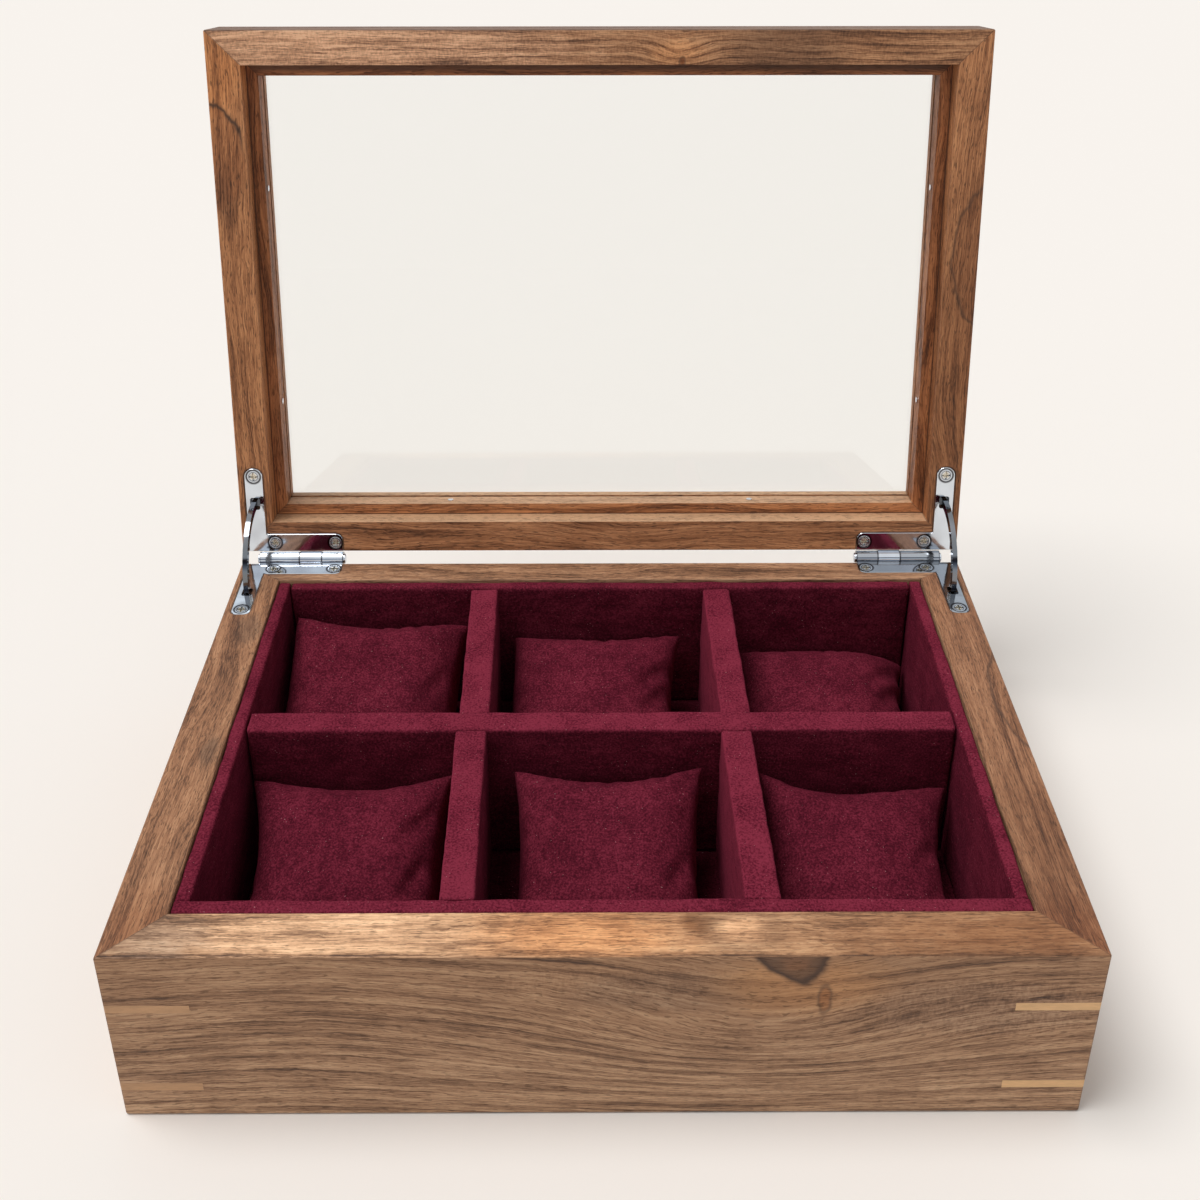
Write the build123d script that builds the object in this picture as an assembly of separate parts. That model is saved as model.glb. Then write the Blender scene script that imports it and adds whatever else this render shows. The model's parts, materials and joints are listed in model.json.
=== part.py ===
from build123d import *
import os
from math import asin, atan2, degrees, hypot

# Wooden watch box for six wristwatches, in millimetres.
# The origin is the centre of the underside of the base. +Z is up and the front faces -Y.
# The lid is drawn closed and then turned back about the hinge axis, because the box stands open.

# Case
box_width = 305.0
box_depth = 216.0
base_height = 69.0
wall = 18.0
back_wall = 13.0
outer_round = 0.8
inner_round = 0.4

# Bottom panel, set into a rebate in the walls
panel_thickness = 6.0
panel_rebate = 7.0
panel_clearance = 0.1

# Corner keys across the mitres
key_thickness = 3.2
key_leg = 26.3
low_key_height = 13.0
high_key_below_rim = 21.5

# Suede covered lining boards
lining = 5.5
lining_floor = 4.0
lining_drop = 1.2
lining_clearance = 0.15
suede_round = 1.8

# Suede covered dividers
cross_thickness = 9.0
cross_offset = 3.0
row_thickness = 10.5
row_drop = 1.5
middle_width = 85.5
divider_clearance = 0.15

# Watch pillows
pillow_side_gap = 2.3
pillow_front_gap = 3.0
pillow_rear_gap = 2.5
pillow_seat_gap = 0.3
pillow_front_height = 19.0
pillow_crown = 7.0
pillow_round = 7.0
rear_heights = {
    "back_left": 43.0,
    "back_middle": 36.0,
    "back_right": 29.0,
    "front_left": 38.0,
    "front_middle": 40.0,
    "front_right": 36.0,
}

# Lid
seam_gap = 0.4
lip = 4.0
glass_thickness = 3.0
bead_height = 8.5
bead_width = 4.7
bead_recess = 9.5
glass_clearance = 0.3
open_angle = 100.0

# Headed pins that hold the glass beads
pin_head_radius = 1.2
pin_head_height = 0.4
pin_shank_radius = 0.5
pin_length = 8.0
pin_clearance = 0.03
pin_spread_side = 45.0
pin_spread_end = 64.5

# Hinges: a leaf has a back arm along the back and a side arm along the side
leaf_inset = 2.7
leaf_width = 8.0
leaf_thickness = 2.0
leaf_clearance = 0.15
leaf_bevel = 0.3
back_arm = 40.2
side_arm = 37.5
base_end_round = 2.8
lid_end_round = 3.8
axis_offset = 3.3
barrel_radius = 3.0
barrel_start = 4.8
outer_knuckle = 17.0
middle_knuckle = 9.3
knuckle_gap = 0.2
hinge_pin_radius = 1.3
hinge_pin_clearance = 0.05
hinge_pin_head_radius = 2.1
hinge_pin_head = 0.9

# Countersunk screws
screw_head_radius = 2.9
screw_head_height = 1.9
screw_shank_radius = 1.3
screw_length = 13.0
screw_clearance = 0.05
screw_sink = 0.1
back_screw_spread = 25.6
back_screw_end = 3.2
side_screw_end = 3.7
cross_slot_length = 3.6
cross_slot_width = 0.8
cross_slot_depth = 1.0

# Curved struts that slide in the base and the lid and stop the lid
strut_radius = 25.0
strut_width = 3.2
strut_thickness = 2.0
stop_width = 5.6
stop_length = 1.6
stop_clearance = 0.1
slot_width = 4.2
slot_length = 5.4
mortise_clearance = 0.3
mortise_spare = 1.5

# What follows from the sizes
half_width = box_width / 2
half_depth = box_depth / 2
inner_half_width = half_width - wall
inner_half_depth = half_depth - wall
back_gain = wall - back_wall
rim = base_height
floor_top = panel_thickness + lining_floor
lining_top = rim - lining_drop
room_half_width = inner_half_width - lining_clearance - lining
room_half_depth = inner_half_depth - lining_clearance - lining
divider_x = (middle_width + row_thickness) / 2
side_width = room_half_width - middle_width / 2 - row_thickness
pillow_width = min(side_width, middle_width) - 2 * pillow_side_gap
key_heights = [low_key_height, rim - high_key_below_rim]
lid_bottom = rim + seam_gap
glass_bottom = lid_bottom + bead_recess + bead_height
lid_thickness = bead_recess + bead_height + glass_thickness + lip
land = wall - bead_width
axis_y = half_depth + axis_offset
axis_z = rim + seam_gap / 2
hinge_axis = Axis((0, axis_y, axis_z), (1, 0, 0))
strut_x = half_width - leaf_inset - leaf_width / 2

TOWARDS_FRONT = 180.0
LEFT_AND_RIGHT = (-1, 1)


def block(x0, x1, y0, y1, z0, z1):
    """A square block between two corners."""
    middle = Pos((x0 + x1) / 2, (y0 + y1) / 2, (z0 + z1) / 2)
    return middle * Box(x1 - x0, y1 - y0, z1 - z0)


def prism(points, z0, z1):
    """A flat outline, in plan, drawn up from one height to another."""
    outline = Polyline(*points, close=True)
    return Pos(0, 0, z0) * extrude(make_face(outline), z1 - z0)


def rounded_block(z0, z1):
    """The outside of the box between two heights, with every edge eased."""
    body = block(-half_width, half_width, -half_depth, half_depth, z0, z1)
    return fillet(body.edges(), outer_round)


def opening(margin, z0, z1, gain=0.0):
    """The space inside a frame whose sides are as wide as the margin, less a gain at the back."""
    x, y = half_width - margin, half_depth - margin
    return block(-x, x, -y, y + gain, z0, z1)


def mitre_line(right, front, gain):
    """A point outside a frame and one inside it, on the mitre from an eased corner to the opening's."""
    eased = Vector(half_width - outer_round, half_depth - outer_round)
    inner = Vector(inner_half_width, inner_half_depth + gain)
    run = eased - inner
    return [(right * point.X, front * point.Y) for point in (eased + run, inner - run)]


def mitre_wedge(side, gain, z0, z1):
    """The part of the plan that belongs to one side of a mitred frame."""
    corners = {
        "front": [(-1, -1, 0), (1, -1, 0)],
        "back": [(1, 1, gain), (-1, 1, gain)],
        "left": [(-1, 1, gain), (-1, -1, 0)],
        "right": [(1, -1, 0), (1, 1, gain)],
    }
    first, second = (mitre_line(*corner) for corner in corners[side])
    return prism([first[0], second[0], second[1], first[1]], z0, z1)


def mitred_sides(ring, z0, z1, gain=0.0):
    """A frame cut at its mitres into four sides."""
    sides = ("front", "back", "left", "right")
    return {side: ring & mitre_wedge(side, gain, z0, z1) for side in sides}


def at_hand(shape, hand):
    """A piece drawn for the right hand side, or its mirror image for the left."""
    if hand > 0:
        return shape
    return mirror(shape, about=Plane.YZ)


def both_hands(shape):
    """The same shape on the right and on the left."""
    return [at_hand(shape, hand) for hand in LEFT_AND_RIGHT]


def hinge_sector(inner, outer, start, end, thickness):
    """A flat curved bar about the hinge axis, from one angle to another above +Y."""
    arcs = [
        CenterArc((0, 0), inner, start, end - start),
        CenterArc((0, 0), outer, start, end - start),
    ]
    ends = [Line(arcs[0] @ at, arcs[1] @ at) for at in (0, 1)]
    face = Plane.YZ * make_face(arcs + ends)
    bar = extrude(face, thickness / 2, both=True)
    return Pos(strut_x, axis_y, axis_z) * bar


def leaf_plan(clearance, end_round):
    """The L shaped outline of a hinge leaf, seen from above on the right hand side."""
    outer = half_width - leaf_inset + clearance
    inner = outer - leaf_width - 2 * clearance
    far = half_width - leaf_inset - back_arm - clearance
    front = half_depth - side_arm - clearance
    shoulder = half_depth - leaf_width - clearance
    corners = [
        (outer, half_depth),
        (outer, front),
        (inner, front),
        (inner, shoulder),
        (far, shoulder),
        (far, half_depth),
    ]
    face = make_face(Polyline(*corners, close=True))
    tips = [v for v in face.vertices() if abs(v.Y - front) < leaf_bevel]
    face = fillet(tips, end_round + clearance)
    heel = [v for v in face.vertices() if hypot(v.X - far, v.Y - shoulder) < leaf_bevel]
    return fillet(heel, base_end_round)


def knuckle_spans():
    """Where the three knuckles of a barrel start and end along X, from the outside in."""
    start = half_width - leaf_inset - barrel_start
    end = half_width - leaf_inset - back_arm
    first = start - outer_knuckle
    second = first - middle_knuckle
    half_gap = knuckle_gap / 2
    return [
        (first + half_gap, start),
        (second + half_gap, first - half_gap),
        (end, second - half_gap),
    ]


def screw_places():
    """The three screws of a leaf on the right hand side."""
    arm_y = half_depth - leaf_width / 2
    inner_x = half_width - leaf_inset - back_arm + back_screw_end
    return [
        (inner_x, arm_y),
        (inner_x + back_screw_spread, arm_y),
        (strut_x, half_depth - side_arm + side_screw_end),
    ]


def screw_form(clearance):
    """A countersunk screw, head up, with the top of its head at the origin."""
    head = screw_head_radius + clearance
    shank = screw_shank_radius + clearance
    cone = Pos(0, 0, -screw_head_height / 2) * Cone(shank, head, screw_head_height)
    stem = Pos(0, 0, -screw_length / 2) * Cylinder(shank, screw_length + clearance)
    return cone + (stem & Pos(0, 0, -screw_length) * Box(4 * head, 4 * head, 2 * screw_length))


def screw():
    """A countersunk screw with a cross recess."""
    slot = Box(cross_slot_length, cross_slot_width, 2 * cross_slot_depth)
    return screw_form(0.0) - slot - Rot(0, 0, 90) * slot


def base_screws():
    """The screws of the base leaf, heads up, on the right hand side."""
    return [Pos(x, y, rim - screw_sink) * screw() for x, y in screw_places()]


def base_screw_holes():
    """Pilot holes and countersinks under the screws of the base leaf."""
    mouth = Pos(0, 0, screw_sink / 2) * Cylinder(screw_head_radius + screw_clearance, screw_sink)
    hole = screw_form(screw_clearance) + mouth
    return [Pos(x, y, rim - screw_sink) * hole for x, y in screw_places()]


def lifted(shape):
    """A piece of the base leaf turned over, so that it belongs to the lid."""
    return mirror(shape, about=Plane.XY.offset(axis_z))


def leaf_plate(end_round):
    """A leaf without its knuckles, let in flush with the rim of the base."""
    plate = Pos(0, 0, rim - leaf_thickness) * extrude(leaf_plan(0.0, end_round), leaf_thickness)
    top = plate.faces().sort_by(Axis.Z)[-1]
    return chamfer(top.edges(), leaf_bevel)


def strut_slot():
    """The slot in a leaf that the strut passes through."""
    slot_y = axis_y - strut_radius
    hole = Box(slot_width, slot_length, 4 * leaf_thickness)
    uprights = hole.edges().filter_by(Axis.Z)
    return Pos(strut_x, slot_y, rim) * fillet(uprights, slot_width / 4)


def knuckles(spans):
    """Knuckles about the hinge axis, each joined to the back edge of its leaf."""
    parts = []
    for inner, outer in spans:
        length = outer - inner
        middle = Pos((inner + outer) / 2, axis_y, axis_z)
        roll = middle * Rot(0, 90, 0) * Cylinder(barrel_radius, length)
        web = block(inner, outer, half_depth - leaf_bevel, axis_y, rim - leaf_thickness, rim)
        parts.append(roll + web)
    return parts


def barrel_bore():
    """The bore through all the knuckles of a barrel."""
    spans = knuckle_spans()
    radius = hinge_pin_radius + hinge_pin_clearance
    length = spans[0][1] - spans[-1][0]
    middle = Pos((spans[0][1] + spans[-1][0]) / 2, axis_y, axis_z)
    return middle * Rot(0, 90, 0) * Cylinder(radius, 2 * length)


def base_leaf():
    """The leaf in the base, on the right hand side."""
    spans = knuckle_spans()
    leaf = leaf_plate(base_end_round)
    for part in knuckles([spans[0], spans[2]]):
        leaf += part
    return leaf - barrel_bore() - strut_slot() - base_screw_holes()


def lid_leaf():
    """The leaf in the lid, on the right hand side, with the lid closed."""
    leaf = leaf_plate(lid_end_round)
    for part in knuckles([knuckle_spans()[1]]):
        leaf += part
    leaf = leaf - strut_slot() - base_screw_holes()
    return lifted(leaf) - barrel_bore()


def hinge_pin():
    """The pin of a barrel, with a head at each end, on the right hand side."""
    spans = knuckle_spans()
    inner, outer = spans[-1][0], spans[0][1]
    middle = Pos((inner + outer) / 2, axis_y, axis_z)
    pin = middle * Rot(0, 90, 0) * Cylinder(hinge_pin_radius, outer - inner + hinge_pin_head)
    for end, way in ((outer, 1), (inner, -1)):
        at = end + way * (hinge_pin_clearance + hinge_pin_head / 2)
        head = Rot(0, 90, 0) * Cylinder(hinge_pin_head_radius, hinge_pin_head)
        rounds = head.edges().sort_by(Axis.X)[-1 if way > 0 else 0]
        pin += Pos(at, axis_y, axis_z) * fillet(rounds, hinge_pin_head / 2)
    return pin


def strut_angles():
    """How far a strut reaches past the rim: to its stops, and to its ends."""
    under_leaf = leaf_thickness + seam_gap / 2 + stop_clearance
    to_stop = degrees(asin(under_leaf / (strut_radius - strut_width / 2)))
    to_end = to_stop + degrees(stop_length / strut_radius)
    return to_stop, to_end


def strut():
    """The curved strut at rest, with the lid open against its stops, on the right hand side."""
    to_stop, to_end = strut_angles()
    low, high = strut_radius - strut_width / 2, strut_radius + strut_width / 2
    lid_side = TOWARDS_FRONT - open_angle
    bar = hinge_sector(low, high, lid_side - to_end, TOWARDS_FRONT + to_end, strut_thickness)
    for start, end in (
        (lid_side - to_end, lid_side - to_stop),
        (TOWARDS_FRONT + to_stop, TOWARDS_FRONT + to_end),
    ):
        bar += hinge_sector(low, high, start, end, stop_width)
    return bar


def mortise(start, end):
    """The curved blind mortise that a strut slides into."""
    room = strut_width / 2 + mortise_clearance
    low, high = strut_radius - room, strut_radius + room
    return hinge_sector(low, high, start, end, stop_width + 2 * mortise_clearance)


def mortise_reach():
    """How far the strut turns into each mortise with the lid closed."""
    spare = degrees(mortise_spare / strut_radius)
    return open_angle / 2 + strut_angles()[1] + spare


def leaf_pocket(end_round):
    """The shallow recess that a leaf is let into, in the rim of the base."""
    plan = leaf_plan(leaf_clearance, end_round)
    return Pos(0, 0, rim - leaf_thickness) * extrude(plan, 2 * leaf_thickness)


def base_hinge_cuts():
    """All that is cut from the base for its two hinges."""
    cuts = [leaf_pocket(base_end_round), mortise(TOWARDS_FRONT, TOWARDS_FRONT + mortise_reach())]
    return [piece for cut in cuts + base_screw_holes() for piece in both_hands(cut)]


def lid_hinge_cuts():
    """All that is cut from the closed lid for its two hinges."""
    cuts = [lifted(leaf_pocket(lid_end_round)), mortise(TOWARDS_FRONT - mortise_reach(), TOWARDS_FRONT)]
    cuts += [lifted(hole) for hole in base_screw_holes()]
    return [piece for cut in cuts for piece in both_hands(cut)]


def corner_key(height, right, front):
    """A thin triangular key let in across a mitre, flush with both faces."""
    x, y = right * half_width, front * half_depth
    points = [(x, y), (x - right * key_leg, y), (x, y - front * key_leg)]
    plate = prism(points, height - key_thickness / 2, height + key_thickness / 2)
    return plate & rounded_block(0, rim)


def corner_keys():
    """The keys of the four corners, by corner."""
    return {
        f"{depth}_{hand}": [corner_key(height, right, front) for height in key_heights]
        for depth, front in (("front", -1), ("back", 1))
        for hand, right in (("left", -1), ("right", 1))
    }


def base_walls(keys, hinge_cuts):
    """The four mitred walls of the base, slotted for their keys and let in for the hinges."""
    ring = rounded_block(0, rim) - opening(wall, -rim, 2 * rim, back_gain)
    ring -= opening(wall - panel_rebate, -rim, panel_thickness, back_gain)
    cuts = hinge_cuts + [key for pair in keys.values() for key in pair]
    sides = mitred_sides(ring - cuts, 0, rim, back_gain)
    return {side: fillet(inner_top(piece), inner_round) for side, piece in sides.items()}


def inner_top(piece):
    """The edge of a wall at the inside of the rim."""
    width, depth = inner_half_width + inner_round, inner_half_depth + back_gain + inner_round
    inside = [e for e in piece.edges() if abs(e.center().X) < width and abs(e.center().Y) < depth]
    return [e for e in inside if abs(e.center().Z - rim) < inner_round]


def bottom_panel():
    """The panel that closes the base, flush with the undersides of the walls."""
    return opening(wall - panel_rebate + panel_clearance, 0, panel_thickness, back_gain)


def lining_board(x0, x1, y0, y1, z1, along):
    """An upright suede covered board whose two top edges are softly rounded."""
    board = block(x0, x1, y0, y1, floor_top, z1)
    top = board.faces().sort_by(Axis.Z)[-1]
    return fillet(top.edges().filter_by(along), suede_round)


def lining_boards():
    """The four boards that line the walls and the one that lines the bottom."""
    x, inner_x = inner_half_width - lining_clearance, room_half_width
    front, inner_front = -inner_half_depth + lining_clearance, -room_half_depth
    back, inner_back = back_gain - front, back_gain + room_half_depth
    return {
        "lining_front": lining_board(-x, x, front, inner_front, lining_top, Axis.X),
        "lining_back": lining_board(-inner_x, inner_x, inner_back, back, lining_top, Axis.X),
        "lining_left": lining_board(-x, -inner_x, inner_front, back, lining_top, Axis.Y),
        "lining_right": lining_board(inner_x, x, inner_front, back, lining_top, Axis.Y),
        "lining_floor": block(-x, x, front, back, panel_thickness, floor_top),
    }


def row_spans():
    """Where the front and the back row of compartments start and end along Y."""
    middle = cross_thickness / 2
    return {
        "front": (-room_half_depth, cross_offset - middle),
        "back": (cross_offset + middle, room_half_depth + back_gain),
    }


def column_spans():
    """Where the three columns of compartments start and end along X."""
    inner, outer = divider_x - row_thickness / 2, divider_x + row_thickness / 2
    return {
        "left": (-room_half_width, -outer),
        "middle": (-inner, inner),
        "right": (outer, room_half_width),
    }


def dividers():
    """The long divider between the two rows and the four short ones between the columns."""
    x = room_half_width - divider_clearance
    front, back = row_spans()["front"][1], row_spans()["back"][0]
    parts = {"cross_divider": lining_board(-x, x, front, back, lining_top, Axis.X)}
    for row, (y0, y1) in row_spans().items():
        for hand, way in (("left", -1), ("right", 1)):
            x0, x1 = (way * divider_x + step * row_thickness / 2 for step in LEFT_AND_RIGHT)
            ends = (y0 + divider_clearance, y1 - divider_clearance)
            top = lining_top - row_drop
            parts[f"{row}_divider_{hand}"] = lining_board(x0, x1, *ends, top, Axis.Y)
    return parts


def pillow(row, column, rear_height):
    """A plain soft wedge with a crowned top, which lies in its compartment."""
    (x0, x1), (y0, y1) = column_spans()[column], row_spans()[row]
    front, rear = y0 + pillow_front_gap, y1 - pillow_rear_gap
    seat = floor_top + pillow_seat_gap
    low, high = seat + pillow_front_height, seat + rear_height
    crest = ((front + rear) / 2, (low + high) / 2 + pillow_crown)
    top = ThreePointArc((rear, high), crest, (front, low))
    rest = Polyline((front, low), (front, seat), (rear, seat), (rear, high))
    face = Plane.YZ * make_face([top, rest])
    wedge = extrude(face, pillow_width / 2, both=True)
    return Pos((x0 + x1) / 2, 0, 0) * fillet(wedge.edges(), pillow_round)


def pillows():
    """The six pillows, by compartment."""
    parts = {}
    for place, rear_height in rear_heights.items():
        row, column = place.split("_")
        parts[f"pillow_{place}"] = pillow(row, column, rear_height)
    return parts


def lid_rails():
    """The four mitred rails of the closed lid, rebated for the glass and its beads."""
    top = lid_bottom + lid_thickness
    ring = rounded_block(lid_bottom, top) - opening(wall, 0, 2 * top)
    ring -= opening(land, 0, glass_bottom + glass_thickness)
    return mitred_sides(ring - lid_hinge_cuts() - pin_holes(), lid_bottom, top)


def glass_pane():
    """The pane, which lies against the lip of the lid."""
    return opening(land + glass_clearance, glass_bottom, glass_bottom + glass_thickness)


def glass_beads():
    """The four mitred beads that hold the pane in its rebate."""
    low = glass_bottom - bead_height
    outer = opening(land, low, glass_bottom)
    ring = outer - opening(wall, 0, 2 * glass_bottom)
    return mitred_sides(ring - pin_holes(), low, glass_bottom)


def pin_places():
    """Each bead pin's head, and the way that it points into its rail, on the closed lid."""
    z = glass_bottom - bead_height / 2
    places = []
    for way in LEFT_AND_RIGHT:
        for step in LEFT_AND_RIGHT:
            places.append((step * pin_spread_end, way * inner_half_depth, z, 0, way))
            places.append((way * inner_half_width, step * pin_spread_side, z, way, 0))
    return places


def along(x, y, z, dx, dy, radius, start, end):
    """A round bar that starts and ends at distances along a level direction."""
    turn = Rot(0, 0, degrees(atan2(dy, dx))) * Rot(0, 90, 0)
    middle = (start + end) / 2
    return Pos(x + dx * middle, y + dy * middle, z) * turn * Cylinder(radius, end - start)


def bead_pins():
    """Headed pins through the beads into the rails."""
    pins = []
    for place in pin_places():
        head = along(*place, pin_head_radius, -pin_head_height, 0)
        shank = along(*place, pin_shank_radius, -pin_head_height, pin_length)
        pins.append(head + shank)
    return pins


def pin_holes():
    """The holes that the bead pins are driven into."""
    radius = pin_shank_radius + pin_clearance
    return [along(*place, radius, -pin_length, pin_length + pin_clearance) for place in pin_places()]


def opened(shape):
    """A piece of the lid as it stands with the lid open."""
    return shape.rotate(hinge_axis, -open_angle)


def group(solids):
    """Several separate solids of one kind, kept together."""
    return Compound(children=list(solids))


def base_nodes():
    """Every piece that stays with the base."""
    keys = corner_keys()
    hinge_cuts = base_hinge_cuts()
    nodes = {f"{side}_wall": piece for side, piece in base_walls(keys, hinge_cuts).items()}
    nodes["bottom_panel"] = bottom_panel()
    for place, pair in keys.items():
        nodes[f"corner_keys_{place}"] = group(key - hinge_cuts for key in pair)
    nodes.update(lining_boards())
    nodes.update(dividers())
    for hand, way in (("left", -1), ("right", 1)):
        nodes[f"hinge_base_leaf_{hand}"] = at_hand(base_leaf(), way)
        nodes[f"hinge_pin_{hand}"] = at_hand(hinge_pin(), way)
        nodes[f"hinge_base_screws_{hand}"] = group(at_hand(s, way) for s in base_screws())
    return nodes


def lid_nodes():
    """Every piece that turns with the lid, drawn closed."""
    nodes = {f"lid_rail_{side}": rail for side, rail in lid_rails().items()}
    nodes.update({f"glass_bead_{side}": bead for side, bead in glass_beads().items()})
    nodes["glass_pane"] = glass_pane()
    nodes["bead_pins"] = group(bead_pins())
    for hand, way in (("left", -1), ("right", 1)):
        nodes[f"hinge_lid_leaf_{hand}"] = at_hand(lid_leaf(), way)
        turned = [at_hand(lifted(s), way) for s in base_screws()]
        nodes[f"hinge_lid_screws_{hand}"] = group(turned)
    return nodes


def all_nodes():
    """Every node of the box as it stands open."""
    nodes = base_nodes()
    nodes.update({name: opened(shape) for name, shape in lid_nodes().items()})
    nodes.update(pillows())
    for hand, way in (("left", -1), ("right", 1)):
        nodes[f"strut_{hand}"] = at_hand(strut(), way)
    return nodes


os.makedirs("parts", exist_ok=True)
for name, shape in all_nodes().items():
    export_step(shape, f"parts/{name}.step")
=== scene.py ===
"""Dresses the wooden watch box: walnut boards, suede lining and pillows, glass and polished hinges."""

import json
import math
from dataclasses import dataclass
from functools import reduce

import bmesh
import bpy
from bpy.props import FloatProperty, FloatVectorProperty, IntProperty, PointerProperty
from mathutils import Matrix, Vector, noise


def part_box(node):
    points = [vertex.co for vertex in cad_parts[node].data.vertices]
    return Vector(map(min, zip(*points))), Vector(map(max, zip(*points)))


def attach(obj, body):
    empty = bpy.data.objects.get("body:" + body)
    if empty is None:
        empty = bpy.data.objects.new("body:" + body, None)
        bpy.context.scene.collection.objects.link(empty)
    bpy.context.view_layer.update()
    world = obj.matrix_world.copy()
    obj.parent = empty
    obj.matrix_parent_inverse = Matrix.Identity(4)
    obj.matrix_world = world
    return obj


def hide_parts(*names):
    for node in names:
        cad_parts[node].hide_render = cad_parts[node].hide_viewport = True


bl_info = {
    "name": "Watch Box",
    "version": (1, 0, 0),
    "blender": (4, 5, 0),
    "location": "View3D > Sidebar > Watch Box",
    "description": "Dresses the solids of a wooden watch box with wood, suede, glass and metal",
    "category": "Object",
}

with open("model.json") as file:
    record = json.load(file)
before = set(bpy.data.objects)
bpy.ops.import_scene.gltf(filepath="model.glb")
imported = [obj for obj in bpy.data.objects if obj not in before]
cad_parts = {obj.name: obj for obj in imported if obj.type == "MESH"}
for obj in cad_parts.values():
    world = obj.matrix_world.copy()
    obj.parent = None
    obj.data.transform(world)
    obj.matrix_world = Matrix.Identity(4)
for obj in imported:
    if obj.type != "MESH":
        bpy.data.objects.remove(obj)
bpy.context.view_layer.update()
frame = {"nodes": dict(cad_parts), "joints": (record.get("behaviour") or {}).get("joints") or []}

MM = 0.001
HANDS = ("left", "right")
ROWS = ("front", "back")
SIDES = (*ROWS, *HANDS)
EAST = Vector((1, 0, 0))
NORTH = Vector((0, 1, 0))
UP = Vector((0, 0, 1))

# Places that the frame gives: the case, the lid's hinge axis and the way that the open lid points
FRONT_LOW, FRONT_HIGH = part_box("front_wall")
BACK_LOW, BACK_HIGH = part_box("back_wall")
LEAF_LOW, LEAF_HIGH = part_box("hinge_base_leaf_right")
LID_HINGE = next(joint for joint in frame["joints"] if joint["name"] == "lid_hinge")
OPEN_ANGLE = math.radians(LID_HINGE["range_deg"][1])
LID_AXIS = Vector(LID_HINGE["pos_m"])
LID_REACH = Vector((0, -math.cos(OPEN_ANGLE), math.sin(OPEN_ANGLE)))
LID_OUTWARD = Vector((0, math.sin(OPEN_ANGLE), math.cos(OPEN_ANGLE)))

# Sizes in millimetres: first those that the boxes give, then those that no box gives. The barrel's reach is
# just outside its radius, the mitres start a little inside the corner, and far is out of reach of a leaf.
HALF_WIDTH = FRONT_HIGH.x / MM
HALF_DEPTH = BACK_HIGH.y / MM
LID_CENTRE = LID_AXIS.y / MM
WALL = (FRONT_HIGH.y - FRONT_LOW.y) / MM
BACK_WALL = (BACK_HIGH.y - BACK_LOW.y) / MM
LEAF_INSET = HALF_WIDTH - LEAF_HIGH.x / MM
BACK_ARM = (LEAF_HIGH.x - LEAF_LOW.x) / MM
SIDE_ARM = HALF_DEPTH - LEAF_LOW.y / MM
LEAF_WIDTH = 8.0
ARM_ROUND = 2.8
LID_ARM_ROUND = 3.8
BARREL_REACH = 3.1
MITRE_START = 0.8
FAR = 99


def knuckle_ends():
    """Where the barrel of a hinge passes from one leaf to the other, in millimetres from the middle."""
    ends = set()
    for vertex in frame["nodes"]["hinge_base_leaf_right"].data.vertices:
        if (vertex.co - LID_AXIS).yz.length < BARREL_REACH * MM:
            ends.add(round(vertex.co.x / MM, 1))
    return sorted(ends)


KNUCKLE_ENDS = knuckle_ends()

# What polished metal sees above the horizon: the pale backdrop, cool dusk, a dark ceiling and a light panel
STUDIO_PANELS = (
    (0.0, (0.93, 0.89, 0.84)),
    (0.16, (0.9, 0.93, 0.97)),
    (0.3, (0.36, 0.42, 0.52)),
    (0.42, (0.05, 0.05, 0.07)),
    (0.5, (0.07, 0.06, 0.07)),
    (0.555, (0.9, 0.95, 1.0)),
    (0.85, (1.0, 1.0, 1.0)),
)


def colour_property(name, description, default):
    """A colour that a user may change."""
    return FloatVectorProperty(
        name=name, description=description, subtype="COLOR", size=3, min=0, max=1, default=default
    )


def place_property(name, description, default):
    """A place that a user may change, in metres."""
    return FloatVectorProperty(
        name=name, description=description, subtype="TRANSLATION", unit="LENGTH", size=3, default=default
    )


def angle_property(name, description, degrees):
    """An angle that a user may change."""
    return FloatProperty(
        name=name, description=description, subtype="ANGLE", default=math.radians(degrees)
    )


def length_property(name, description, default):
    """A length that a user may change, in metres."""
    return FloatProperty(name=name, description=description, unit="LENGTH", min=0, default=default)


def share_property(name, description, default):
    """A share from none to all."""
    return FloatProperty(
        name=name, description=description, subtype="FACTOR", min=0, max=1, default=default
    )


class WatchBoxWood(bpy.types.PropertyGroup):
    """Colours and grain of the walnut, the keys and the bottom panel."""

    pale: colour_property("Pale wood", "Sapwood and the palest streaks", (0.70, 0.43, 0.25))
    light: colour_property("Light wood", "Wood between the growth rings", (0.475, 0.262, 0.143))
    brown: colour_property("Brown wood", "Late wood at the end of a ring", (0.25, 0.127, 0.066))
    dark: colour_property("Dark wood", "Darkest streaks and knots", (0.085, 0.042, 0.025))
    pore: colour_property("Open pores", "The short dark dashes of the open grain", (0.062, 0.03, 0.018))
    maple: colour_property("Pale key", "The pale corner keys", (1.0, 0.6, 0.29))
    key_brown: colour_property("Brown key", "The browner corner keys", (0.68, 0.375, 0.19))
    ring_spacing: length_property("Ring spacing", "Growth rings across a board", 5.2 * MM)
    pore_length: length_property("Pore length", "Length of an open pore", 3.6 * MM)
    pore_width: length_property("Pore width", "Width of an open pore", 0.42 * MM)
    roughness: share_property("Wood roughness", "Roughness of the oiled wood", 0.5)


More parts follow.
